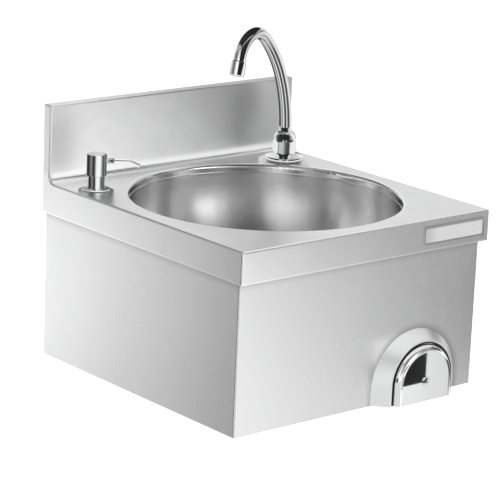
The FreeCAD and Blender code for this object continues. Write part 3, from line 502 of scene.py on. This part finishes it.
# world: white to the eye; as light, a tent with soft boxes at middle height and a dark ceiling
world = bpy.data.worlds.new("tent")
scene.world = world
world.use_nodes = True
wn = world.node_tree
wn.nodes.clear()
wo = wn.nodes.new("ShaderNodeOutputWorld")
b_eye = wn.nodes.new("ShaderNodeBackground")
b_eye.inputs[0].default_value = (1, 1, 1, 1)
b_lit = wn.nodes.new("ShaderNodeBackground")
wtc = wn.nodes.new("ShaderNodeTexCoord")
wsp = wn.nodes.new("ShaderNodeSeparateXYZ")
wn.links.new(wtc.outputs["Generated"], wsp.inputs[0])
up = wn.nodes.new("ShaderNodeMath")
up.operation = "ARCSINE"
wn.links.new(wsp.outputs[2], up.inputs[0])
upd = wn.nodes.new("ShaderNodeMath")
upd.operation = "MULTIPLY"
upd.inputs[1].default_value = 180 / math.pi
wn.links.new(up.outputs[0], upd.inputs[0])
SKY = [
    (0, 0, [(-180, 0.8), (-120, 0.5), (-60, 0.9), (-42, 0.6), (-28, 0.4), (-8, 0.7), (8, 1.2), (20, 1.5), (30, 0.9), (38, 0.6), (52, 0.5), (60, 0.4), (75, 0.6), (85, 0.8), (110, 0.9), (180, 0.9)]),
    (8, 3, [(-180, 0.9), (-156, 0.5), (-132, 0.3), (-110, 0.15), (-95, 0.15), (-85, 0.5), (-70, 1.1), (-55, 1.4), (-45, 1.1), (-36, 0.35), (-26, 0.35), (-12, 0.6), (0, 1.2), (10, 2.1),
            (22, 2.1), (29, 0.9), (36, 0.4), (46, 0.4), (54, 0.2), (72, 0.1), (86, 0.1), (95, 0.3), (106, 0.9), (140, 0.92), (165, 0.85), (180, 0.9)]),
    (20, 3, [(-180, 0.25), (-162, 0.25), (-152, 0.7), (-136, 0.5), (-115, 0.15), (-98, 0.12), (-87, 0.35), (-74, 0.7), (-60, 0.95), (-47, 0.9), (-38, 0.5), (-30, 0.25), (-12, 0.3),
             (-4, 0.55), (4, 0.85), (12, 1.05), (20, 1.0), (28, 0.5), (36, 0.25), (46, 0.35), (55, 0.4), (62, 0.1), (76, 0.1), (90, 0.6), (105, 1.0), (125, 1.1), (150, 1.1), (165, 0.5), (180, 0.25)]),
    (32, 3, [(-180, 0.06), (-155, 0.08), (-140, 0.4), (-110, 0.3), (-97, 0.2), (-86, 0.4), (-62, 0.85), (-48, 0.7), (-38, 0.3), (-24, 0.2), (-8, 0.3), (2, 0.5), (12, 0.6),
             (20, 0.55), (28, 0.4), (34, 0.35), (41, 0.4), (47, 0.4), (60, 0.6), (72, 0.8), (90, 1.0), (120, 1.1), (140, 1.1), (165, 0.15), (180, 0.06)]),
    (43, 3, [(-180, 0.1), (-150, 0.12), (-130, 0.3), (-105, 0.5), (-60, 0.35), (-30, 0.1), (10, 0.1), (20, 0.2), (34, 0.6), (50, 1.2), (98, 1.2), (125, 1.2), (145, 1.1), (165, 0.3), (180, 0.1)]),
    (55, 3, [(-180, 0.1), (-120, 0.15), (-60, 0.4), (0, 0.6), (40, 0.8), (60, 1.0), (105, 1.0), (140, 1.1), (165, 0.3), (180, 0.1)]),
    (78, 4, [(-180, 1.2), (180, 1.2)]),
]
wn.links.new(bands(wn, compass(wn, wsp.outputs[0], wsp.outputs[1]), upd.outputs[0], SKY), b_lit.inputs[0])
mixw = wn.nodes.new("ShaderNodeMixShader")
lp = wn.nodes.new("ShaderNodeLightPath")
wn.links.new(lp.outputs["Is Camera Ray"], mixw.inputs[0])
wn.links.new(b_lit.outputs[0], mixw.inputs[1])
wn.links.new(b_eye.outputs[0], mixw.inputs[2])
wn.links.new(mixw.outputs[0], wo.inputs[0])


def one_sided(mat, fade=None):
    """Makes a card invisible from its back. fade: the two lengths along it (its first UV) between which it thins out."""
    nt = mat.node_tree
    em = [n for n in nt.nodes if n.type == "EMISSION"][0]
    out = [n for n in nt.nodes if n.type == "OUTPUT_MATERIAL"][0]
    geo, clear, mx = nt.nodes.new("ShaderNodeNewGeometry"), nt.nodes.new("ShaderNodeBsdfTransparent"), nt.nodes.new("ShaderNodeMixShader")
    gone = geo.outputs["Backfacing"]
    if fade:
        tc, sp, mr, big = (nt.nodes.new("ShaderNodeTexCoord"), nt.nodes.new("ShaderNodeSeparateXYZ"), nt.nodes.new("ShaderNodeMapRange"), nt.nodes.new("ShaderNodeMath"))
        nt.links.new(tc.outputs["UV"], sp.inputs[0])
        mr.interpolation_type = "SMOOTHSTEP"
        mr.inputs["From Min"].default_value, mr.inputs["From Max"].default_value = fade
        nt.links.new(sp.outputs[0], mr.inputs["Value"])
        big.operation = "MAXIMUM"
        nt.links.new(gone, big.inputs[0])
        nt.links.new(mr.outputs[0], big.inputs[1])
        gone = big.outputs[0]
    nt.links.new(gone, mx.inputs[0])
    nt.links.new(em.outputs[0], mx.inputs[1])
    nt.links.new(clear.outputs[0], mx.inputs[2])
    nt.links.new(mx.outputs[0], out.inputs[0])
    return mat


def screen_round(name, centre, radius, z0, z1, rows, near=False):
    """A round screen about a vertical axis, seen only in reflections, with its brightness by compass angle in bands of
    height. A near one shows only its inner side."""
    me = bpy.data.meshes.new(name)
    n = 96
    vs = []
    for z in (z0, z1):
        for i in range(n):
            a = 2 * math.pi * i / n
            vs.append((centre.x + radius * math.sin(a), centre.y - radius * math.cos(a), z))
    me.from_pydata(vs, [], [(n + i, n + (i + 1) % n, (i + 1) % n, i) for i in range(n)])
    mat = bpy.data.materials.new(name)
    mat.use_nodes = True
    nt = mat.node_tree
    nt.nodes.clear()
    tc, mp, sp = (nt.nodes.new("ShaderNodeTexCoord"), nt.nodes.new("ShaderNodeMapping"), nt.nodes.new("ShaderNodeSeparateXYZ"))
    mp.inputs["Location"].default_value = (-centre.x, -centre.y, 0)
    nt.links.new(tc.outputs["Object"], mp.inputs[0])
    nt.links.new(mp.outputs[0], sp.inputs[0])
    em, out = nt.nodes.new("ShaderNodeEmission"), nt.nodes.new("ShaderNodeOutputMaterial")
    nt.links.new(bands(nt, compass(nt, sp.outputs[0], sp.outputs[1]), sp.outputs[2], rows), em.inputs[0])
    nt.links.new(em.outputs[0], out.inputs[0])
    me.materials.append(one_sided(mat) if near else mat)
    ob = bpy.data.objects.new(name, me)
    scene.collection.objects.link(ob)
    ob.visible_camera = ob.visible_shadow = ob.visible_diffuse = False
    return ob


screen_round("tent_wall", BOWL, 1.5, FLOOR + 0.01, 0.10, [
    (0, 0, [(-180, 0.9), (-150, 1.25), (-138, 0.8), (-124, 0.15), (-100, 0.12), (-80, 0.8), (0, 0.8), (20, 1.5), (34, 0.95), (44, 0.6), (54, 1.15), (80, 1.2), (95, 0.8), (180, 0.9)]),
    (-0.53, 0.04, [(-180, 0.9), (-150, 1.68), (-138, 0.92), (-124, 0.12), (-100, 0.10), (-80, 0.8), (0, 0.8), (20, 1.6), (34, 0.82), (46, 0.28), (56, 0.05), (75, 0.05),
                   (95, 0.8), (180, 0.9)]),
    (-0.205, 0.015, [(-180, 0.5), (-165, 1.2), (-150, 1.5), (-138, 0.6), (-122, 0.02), (-104, 0.02), (-92, 0.2), (-80, 0.35), (-72, 0.25), (-64, 0.03), (-52, 0.04), (-45, 0.8),
                    (-40, 1.3), (-6, 1.3), (0, 0.6), (8, 0.35), (14, 0.3), (34, 0.2), (40, 0.5), (50, 0.6), (55, 1.3), (78, 1.3), (88, 0.5), (105, 0.12), (125, 0.2),
                    (140, 0.6), (180, 0.5)]),
])
screen_round("screen_spout", SPOUT, 0.034, 0.121, 0.205, [
    (0, 0, [(-180, 0.5), (-165, 0.9), (-128, 0.9), (-118, 0.08), (-64, 0.04), (-56, 0.6), (-48, 0.5), (-44, 0.12), (-36, 0.05), (-32, 0.45), (-27, 0.6), (-20, 0.05), (35, 0.05), (48, 0.9),
            (88, 0.9), (98, 0.15), (150, 0.3), (180, 0.5)]),
    (0.1440, 0.0015, [(-180, 0.6), (-150, 0.9), (-130, 0.5), (-112, 0.1), (-90, 0.03), (-8, 0.02), (3, 0.12), (16, 0.4), (30, 0.8), (45, 0.95), (65, 0.8), (90, 0.5), (110, 0.6), (180, 0.6)]),
], True)


def screen_neck(name, radius, rows, fade):
    """A narrow screen that follows the swan neck, seen only in its chrome: brightness by the angle about the neck in bands
    of length. The angle is the compass angle where the neck is upright, and is carried along the bend from there."""
    lo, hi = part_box("aerator_housing")
    way = Vector(((lo[0] + hi[0]) / 2 - SPOUT.x, (lo[1] + hi[1]) / 2 - SPOUT.y, 0.0)).normalized()
    heading = math.atan2(way.x, -way.y)
    pts, ang = [], []
    run, z, th = 0.0, NECK[0], 0.0
    for rad, turn in NECK[1:]:
        m = 32
        for i in range(0 if pts else 1, m):
            q = th + math.radians(turn) * i / m
            pts.append((run + rad * (math.cos(th) - math.cos(q)), z + rad * (math.sin(q) - math.sin(th))))
            ang.append(q)
        t1 = th + math.radians(turn)
        run, z, th = run + rad * (math.cos(th) - math.cos(t1)), z + rad * (math.sin(t1) - math.sin(th)), t1
    pts.append((run, z))
    ang.append(th)
    n, vs, us = 72, [], []
    length = 0.0
    for k, ((r, h), q) in enumerate(zip(pts, ang)):
        if k:
            length += math.dist(pts[k], pts[k - 1])
        inner = way * math.cos(q) + Vector((0, 0, -math.sin(q)))
        side = Vector((-way.y, way.x, 0.0))
        for i in range(n + 1):
            a = -math.pi + 2 * math.pi * i / n
            d = inner * math.cos(a - heading) + side * math.sin(a - heading)
            vs.append(SPOUT + way * r + Vector((0, 0, h)) + d * radius)
            us.append((length, i / n))
    w = n + 1
    fs = [((k + 1) * w + i, (k + 1) * w + i + 1, k * w + i + 1, k * w + i) for k in range(len(pts) - 1) for i in range(n)]
    me = bpy.data.meshes.new(name)
    me.from_pydata([tuple(v) for v in vs], [], fs)
    uv = me.uv_layers.new(name="UVMap")
    for loop in me.loops:
        uv.data[loop.index].uv = us[loop.vertex_index]
    mat = bpy.data.materials.new(name)
    mat.use_nodes = True
    nt = mat.node_tree
    nt.nodes.clear()
    tc, sp = nt.nodes.new("ShaderNodeTexCoord"), nt.nodes.new("ShaderNodeSeparateXYZ")
    nt.links.new(tc.outputs["UV"], sp.inputs[0])
    em, out = nt.nodes.new("ShaderNodeEmission"), nt.nodes.new("ShaderNodeOutputMaterial")
    nt.links.new(bands(nt, sp.outputs[1], sp.outputs[0], rows), em.inputs[0])
    nt.links.new(em.outputs[0], out.inputs[0])
    me.materials.append(one_sided(mat, fade))
    ob = bpy.data.objects.new(name, me)
    scene.collection.objects.link(ob)
    ob.visible_camera = ob.visible_shadow = ob.visible_diffuse = False
    return ob


# the neck's centre line: the height where its first bend starts, then (radius, turn in degrees) of its two bends
NECK = [0.158, (0.172, 52.7), (0.039, 111.4)]
screen_neck("screen_neck", 0.0145, [
    (0, 0, [(-180, 0.05), (-163, 0.04), (-131, 0.04), (-108, 0.23), (-92, 0.65), (-75, 0.22), (-62, 1.0), (-50, 0.12), (-38, 0.03), (-31, 0.15), (-23, 0.85), (-10, 0.27), (-1, 0.03), (7, 0.03),
            (19, 0.4), (39, 1.0), (71, 0.6), (90, 0.6), (120, 0.3), (150, 0.1), (180, 0.05)]),
], (0.115, 0.175))
screen_round("screen_pump", SOAP, 0.022, 0.1205, 0.200, [
    (0, 0, [(-180, 0.6), (-165, 0.5), (-154, 0.29), (-140, 0.1), (-129, 0.02), (-110, 0.03), (-94, 0.16), (-80, 0.24), (-67, 0.05), (-55, 0.04), (-47, 0.25), (-42, 0.7), (-32, 1.0), (-5, 1.0),
            (8, 0.37), (24, 0.07), (40, 0.22), (63, 0.12), (99, 0.12), (112, 0.4), (125, 0.7), (180, 0.6)]),
], True)

# small cards that stand close to the bright parts, as a photographer uses them
dark = card_mat("card_dark", [(0, 0.015), (1, 0.03)])
pad_white = one_sided(card_mat("card_pad_white", [(0, 0.80), (1, 0.95)]))
ceiling = one_sided(card_mat("card_ceiling", [(0, 0.9), (0.3, 0.015), (1, 0.03)]))
lay = one_sided(card_mat("card_deck", [(0, 1.0), (0.3, 0.92), (0.75, 0.80), (1, 0.75)]))
cove = one_sided(card_mat("card_cove", [(0, 1.1), (1, 1.1)]))
wall = one_sided(card_mat("card_wall", [(0, 0.95), (0.37, 0.80), (0.75, 0.40), (1, 0.40)]))
hood = one_sided(card_mat("card_hood", [(0, 0.80), (1, 0.98)]))
tip_lo, tip_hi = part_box("aerator_housing")
tip = (Vector(tip_lo) + Vector(tip_hi)) * 0.5
# the quarter card before the pad ends on the pad's axis: 19 mm across and 9 mm down from it, 20 mm before the face
qc = Vector((KNEE.x + 0.0194, -0.4345, KNEE.z - 0.0095))
arc = [qc] + [qc + Vector((-0.0395 * math.sin(t), 0, 0.0395 * math.cos(t))) for t in (math.radians(6 * i) for i in range(16))]
me = bpy.data.meshes.new("card_quarter")
me.from_pydata([tuple(v) for v in arc], [], [tuple(range(len(arc)))])
uv = me.uv_layers.new(name="UVMap")
me.materials.append(dark)
quarter = bpy.data.objects.new("card_quarter", me)
scene.collection.objects.link(quarter)
quarter.visible_camera = quarter.visible_shadow = quarter.visible_diffuse = False
for ob in (
    quad("card_pad", (KNEE.x + 0.022, -0.4375, KNEE.z - 0.008), (-0.043, 0, 0), (0, 0, 0.045), pad_white),
    quad("card_pad_side", (0.064, -0.438, -0.086), (-0.005, 0.002, 0), (0, 0, 0.011), dark),
    quad("card_hood", (0.115, -0.437, 0.052), (-0.14, 0, 0), (0, 0.042, 0), hood),
    quad("card_cove", (0.0, -0.023, DECK + 0.006), (-0.192, 0, 0), (0, 0, 0.0045), cove),
    quad("card_wall", (0.0, -0.0142, 0.170), (0.196, 0, 0), (0, 0, 0.046), wall),
    quad("card_deck", (0.0, -0.206, DECK + 0.0006), (0.196, 0, 0), (0, 0.189, 0), lay),
    quad("card_arm", ((tip.x + SPOUT.x) / 2, (tip.y + SPOUT.y) / 2, 0.345), (-abs(SPOUT.x - tip.x) / 2 - 0.03, 0, 0), (0, abs(SPOUT.y - tip.y) / 2 + 0.03, 0), ceiling),
    quad("card_spout", tip + Vector((0.04, -0.15, 0.075)), (0.15, 0.015, 0), (0, 0.03, 0.08), dark),
):
    ob.visible_diffuse = False

scene.view_settings.view_transform = "Standard"
scene.view_settings.look = "None"
scene.view_settings.exposure = 0.0
scene.view_settings.gamma = 1.0


def lamp(name, place, aim, size, power, sy=None):
    li = bpy.data.lights.new(name, "AREA")
    li.shape = "RECTANGLE"
    li.size = size
    li.size_y = sy or size
    li.energy = power
    ob = bpy.data.objects.new(name, li)
    scene.collection.objects.link(ob)
    ob.location = place
    ob.rotation_mode = "QUATERNION"
    ob.rotation_quaternion = (Vector(aim) - Vector(place)).to_track_quat("-Z", "Y")
    return ob


key = lamp("key", (-0.7, -1.5, 2.1), (0, -0.2, 0), 1.0, 8)
key.visible_glossy = False

# ------------------------------------------------------------------ pieces
def solid(name, verts, faces, mats, face_mats=None, sharp=35.0):
    """A smooth-shaded mesh object that is sharp only over the given angle."""
    me = bpy.data.meshes.new(name)
    me.from_pydata([tuple(v) for v in verts], [], faces)
    for m in mats:
        me.materials.append(m)
    if face_mats:
        for f, k in zip(me.polygons, face_mats):
            f.material_index = k
    bm = bmesh.new()
    bm.from_mesh(me)
    bmesh.ops.recalc_face_normals(bm, faces=bm.faces[:])
    bm.to_mesh(me)
    bm.free()
    for f in me.polygons:
        f.use_smooth = True
    me.set_sharp_from_angle(angle=math.radians(sharp))
    ob = bpy.data.objects.new(name, me)
    scene.collection.objects.link(ob)
    return ob


def ring_round(name, centre, radius, bead, mats, n=192, m=10):
    """A round bead that runs about a vertical axis."""
    vs, fs = [], []
    for i in range(n):
        a = 2 * math.pi * i / n
        for j in range(m):
            b = 2 * math.pi * j / m
            r = radius + bead * math.cos(b)
            vs.append((centre.x + r * math.cos(a), centre.y + r * math.sin(a), centre.z + bead * math.sin(b)))
    for i in range(n):
        for j in range(m):
            i2, j2 = (i + 1) % n, (j + 1) % m
            fs.append((i * m + j, i2 * m + j, i2 * m + j2, i * m + j2))
    return solid(name, vs, fs, mats)


# the seam where the bowl is welded to the worktop, dressed to a low bead
weld = ring_round("bowl_weld", Vector((BOWL.x, BOWL.y, 0.109)), 0.17215, 0.0007, [M["polish"]])
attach(weld, "sink")

# bare plate on the rim: a raised border, a groove and a gently crowned panel
pl_lo, pl_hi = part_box("front_plate")


def plate(name):
    cx, cz = (pl_lo[0] + pl_hi[0]) / 2, (pl_lo[2] + pl_hi[2]) / 2
    hw, hh = (pl_hi[0] - pl_lo[0]) / 2, (pl_hi[2] - pl_lo[2]) / 2
    back, tall = pl_hi[1], pl_hi[1] - pl_lo[1]
    rings = [(0.0, 0.0), (0.0, 0.60), (0.15, 0.85), (0.45, 1.0), (2.7, 1.0), (2.95, 0.90), (3.1, 0.45), (3.45, 0.45), (3.6, 0.80), (3.95, 0.92), (6.0, 0.975), (9.0, 1.0)]
    k = 8
    vs, fs, mm = [], [], []
    for inset, h in rings:
        a, b = hw - inset / 1000, hh - inset / 1000
        r = max(0.0032 - 0.45 * inset / 1000, 0.0012)
        for qx, qz, start in ((1, 1, 0), (-1, 1, 90), (-1, -1, 180), (1, -1, 270)):
            for i in range(k):
                t = math.radians(start + 90 * i / (k - 1))
                vs.append((cx + qx * (a - r) + r * math.cos(t), back - tall * h, cz + qz * (b - r) + r * math.sin(t)))
    n = 4 * k
    for q in range(len(rings) - 1):
        for i in range(n):
            j = (i + 1) % n
            fs.append((q * n + i, q * n + j, (q + 1) * n + j, (q + 1) * n + i))
            mm.append(0 if q < 7 else 1)
    fs.append(tuple((len(rings) - 1) * n + i for i in range(n)))
    mm.append(1)
    fs.append(tuple(reversed(range(n))))
    mm.append(0)
    return solid(name, vs, fs, [M["plate_edge"], M["plate"]], mm)


pt = plate("rim_plate")
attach(pt, "sink")
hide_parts("front_plate")


def soften(node, width, angle=50.0, segments=3):
    """Breaks the sharp edges of a node's solid by a small radius, inwards."""
    b = nodes[node].modifiers.new("edges", "BEVEL")
    b.width = width
    b.segments = segments
    b.limit_method = "ANGLE"
    b.angle_limit = math.radians(angle)
    b.harden_normals = True


soften("worktop", 0.0009)
soften("casing", 0.0005)

# a black ring in the collar's mouth behind the pad, a dark piece that stands in for the shade in the gap: painted shade
def shade_ring(name, outer, inner, y0, y1, zc, low):
    vs, fs = [], []
    prof = [(outer, y0), (inner + 0.0004, y0), (inner, y0 + 0.0005), (inner, y1), (outer, y1)]
    path = [(-1.0, low)] + [(None, math.radians(180 - 5 * i)) for i in range(37)] + [(1.0, low)]
    for kind, t in path:
        for r, y in prof:
            if kind is None:
                vs.append((KNEE.x + r * math.cos(t), y, zc + r * math.sin(t)))
            else:
                vs.append((KNEE.x + kind * r, y, t))
    m = len(prof)
    for i in range(len(path) - 1):
        for j in range(m):
            k = (j + 1) % m
            fs.append((i * m + j, i * m + k, (i + 1) * m + k, (i + 1) * m + j))
    fs.append(tuple(range(m)))
    fs.append(tuple(reversed([(len(path) - 1) * m + j for j in range(m)])))
    return solid(name, vs, fs, [M["rubber"]])


ln = shade_ring("collar_shade_ring", 0.0506, 0.0480, -0.4058, -0.4032, -0.085, -0.1095)
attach(ln, "sink")


# woven cover of the supply hose, on the route that the hose runs in the frame
def route(points):
    cu = bpy.data.curves.new("route", "CURVE")
    cu.dimensions = "3D"
    sp = cu.splines.new("NURBS")
    sp.points.add(len(points) - 1)
    for q, co in zip(sp.points, points):
        q.co = (*co, 1.0)
    sp.order_u = 3
    sp.use_endpoint_u = True
    sp.resolution_u = 24
    ob = bpy.data.objects.new("route", cu)
    scene.collection.objects.link(ob)
    bpy.context.view_layer.update()
    me = bpy.data.meshes.new_from_object(ob.evaluated_get(bpy.context.evaluated_depsgraph_get()))
    pts = [v.co.copy() for v in me.vertices]
    bpy.data.objects.remove(ob)
    bpy.data.meshes.remove(me)
    return pts


def hose(name, points, radius, mat, n=28):
    pts = route(points)
    step, out, left = 0.0025, [pts[0]], 0.0025
    for a, b in zip(pts, pts[1:]):
        d = (b - a).length
        while left <= d:
            out.append(a.lerp(b, left / d))
            left += step
        left -= d
    if (out[-1] - pts[-1]).length > 0.0005:
        out.append(pts[-1])
    vs, fs, uvs = [], [], []
    t0 = (out[1] - out[0]).normalized()
    side = t0.cross(Vector((1, 0, 0))).normalized()
    for i, q in enumerate(out):
        t = (out[min(i + 1, len(out) - 1)] - out[max(i - 1, 0)]).normalized()
        side = (side - t * side.dot(t)).normalized()
        other = t.cross(side)
        for j in range(n):
            w = 2 * math.pi * j / n
            vs.append(q + (side * math.cos(w) + other * math.sin(w)) * radius)
    for i in range(len(out) - 1):
        for j in range(n):
            k = (j + 1) % n
            fs.append((i * n + j, i * n + k, (i + 1) * n + k, (i + 1) * n + j))
            uvs += [(j / n, i * step), ((j + 1) / n, i * step), ((j + 1) / n, (i + 1) * step), (j / n, (i + 1) * step)]
    fs.append(tuple(reversed(range(n))))
    fs.append(tuple((len(out) - 1) * n + j for j in range(n)))
    uvs += [(0, 0)] * (2 * n)
    me = bpy.data.meshes.new(name)
    me.from_pydata([tuple(v) for v in vs], [], fs)
    lay = me.uv_layers.new(name="UVMap")
    for lp_, c in zip(lay.data, uvs):
        lp_.uv = c
    for f in me.polygons:
        f.use_smooth = True
    me.set_sharp_from_angle(angle=math.radians(50))
    me.materials.append(mat)
    ob = bpy.data.objects.new(name, me)
    scene.collection.objects.link(ob)
    return ob


def braid(name):
    """Two sets of crossing wire bundles laid over each other, from the tube's own coordinates."""
    t = Tree(name)
    sp = t.put("ShaderNodeSeparateXYZ")
    t.link(t.coord.outputs["UV"], sp.inputs[0])
    around = t.math("MULTIPLY", sp.outputs[0], 12.0)
    along = t.math("MULTIPLY", sp.outputs[1], 280.0)
    a, b = t.math("ADD", around, along), t.math("SUBTRACT", around, along)
    ra = t.math("ABSOLUTE", t.math("SUBTRACT", t.math("FRACT", a), 0.5))
    rb = t.math("ABSOLUTE", t.math("SUBTRACT", t.math("FRACT", b), 0.5))
    over = t.math("GREATER_THAN", t.math("SINE", t.math("MULTIPLY", t.math("ADD", t.math("FLOOR", a), t.math("FLOOR", b)), math.pi / 2)), -0.5)
    h = t.mix(over, t.range(ra, 0.0, 0.5, 1.0, 0.0), t.range(rb, 0.0, 0.5, 1.0, 0.0))
    wires = t.math("ABSOLUTE", t.math("SINE", t.math("MULTIPLY", t.mix(over, a, b), 5 * math.pi)))
    h2 = t.math("ADD", h, t.math("MULTIPLY", wires, 0.35))
    t.link(t.colour(t.range(h2, 0.1, 1.0, 0, 1), (0.16, 0.16, 0.165), (0.72, 0.725, 0.73)), t.bsdf.inputs["Base Color"])
    t.link(t.range(t.noise(t.mapped(), 900, 3.0), 0.3, 0.7, 0.24, 0.36), t.bsdf.inputs["Roughness"])
    t.link(t.bump(h2, 0.6, 0.0005), t.bsdf.inputs["Normal"])
    t.set(Metallic=1.0)
    return t.mat


hs = hose("hose_braid", [(0.093, -0.290, -0.044), (0.093, -0.218, -0.050), (0.122, -0.150, -0.058), (0.152, -0.058, -0.038), (0.152, -0.058, 0.066)],
          0.0055, braid("wire_braid"))
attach(hs, "sink")
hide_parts("supply_hose")


# wire screen in the mouth of the outlet
def screen(name):
    import numpy as np
    def centre(node):
        o = nodes[node]
        c = np.array([tuple(v.co) for v in o.data.vertices])
        return c, c.mean(axis=0)
    w, wc = centre("aerator_washer")
    _, ic = centre("aerator_insert")
    val, vec = np.linalg.eigh(np.cov((w - wc).T))
    ax = Vector(vec[:, 0])
    if ax.dot(Vector(ic - wc)) < 0:
        ax = -ax
    mid = Vector((w.max(axis=0) + w.min(axis=0)) / 2) + ax * (0.01862 - 0.00685)
    u = ax.cross(Vector((0, 0, 1))).normalized()
    v = ax.cross(u)
    vs, fs = [], []
    r0, wire, gap = 0.00735, 0.00011, 0.00105

    def bar(p, q, lift):
        d = (q - p).normalized()
        side = d.cross(ax)
        k = len(vs)
        for e in (p, q):
            for i in range(6):
                t = math.pi * i / 3
                vs.append(e + side * wire * math.cos(t) + ax * (wire * math.sin(t) + lift))
        for i in range(6):
            j = (i + 1) % 6
            fs.append((k + i, k + j, k + 6 + j, k + 6 + i))
        fs.append(tuple(k + i for i in reversed(range(6))))
        fs.append(tuple(k + 6 + i for i in range(6)))
    m = int(r0 / gap)
    for i in range(-m, m + 1):
        x = i * gap
        h = math.sqrt(max(r0 * r0 - x * x, 0.0)) - 0.00005
        bar(mid + u * x - v * h, mid + u * x + v * h, wire * 0.9)
        bar(mid + v * x - u * h, mid + v * x + u * h, -wire * 0.9)
    k0 = len(vs)
    n = 48
    for i in range(n):
        t = 2 * math.pi * i / n
        d = u * math.cos(t) + v * math.sin(t)
        for a, b in ((r0 - 0.0007, -0.0001), (r0, -0.0001), (r0, 0.0004), (r0 - 0.0007, 0.0004)):
            vs.append(mid + d * a + ax * b)
    for i in range(n):
        for j in range(4):
            a, b, c, d = k0 + i * 4 + j, k0 + i * 4 + (j + 1) % 4, k0 + ((i + 1) % n) * 4 + (j + 1) % 4, k0 + ((i + 1) % n) * 4 + j
            fs.append((a, b, c, d))
    return solid(name, vs, fs, [M["turned_hose"]], None, 40)


sc = screen("aerator_screen")
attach(sc, "spout")
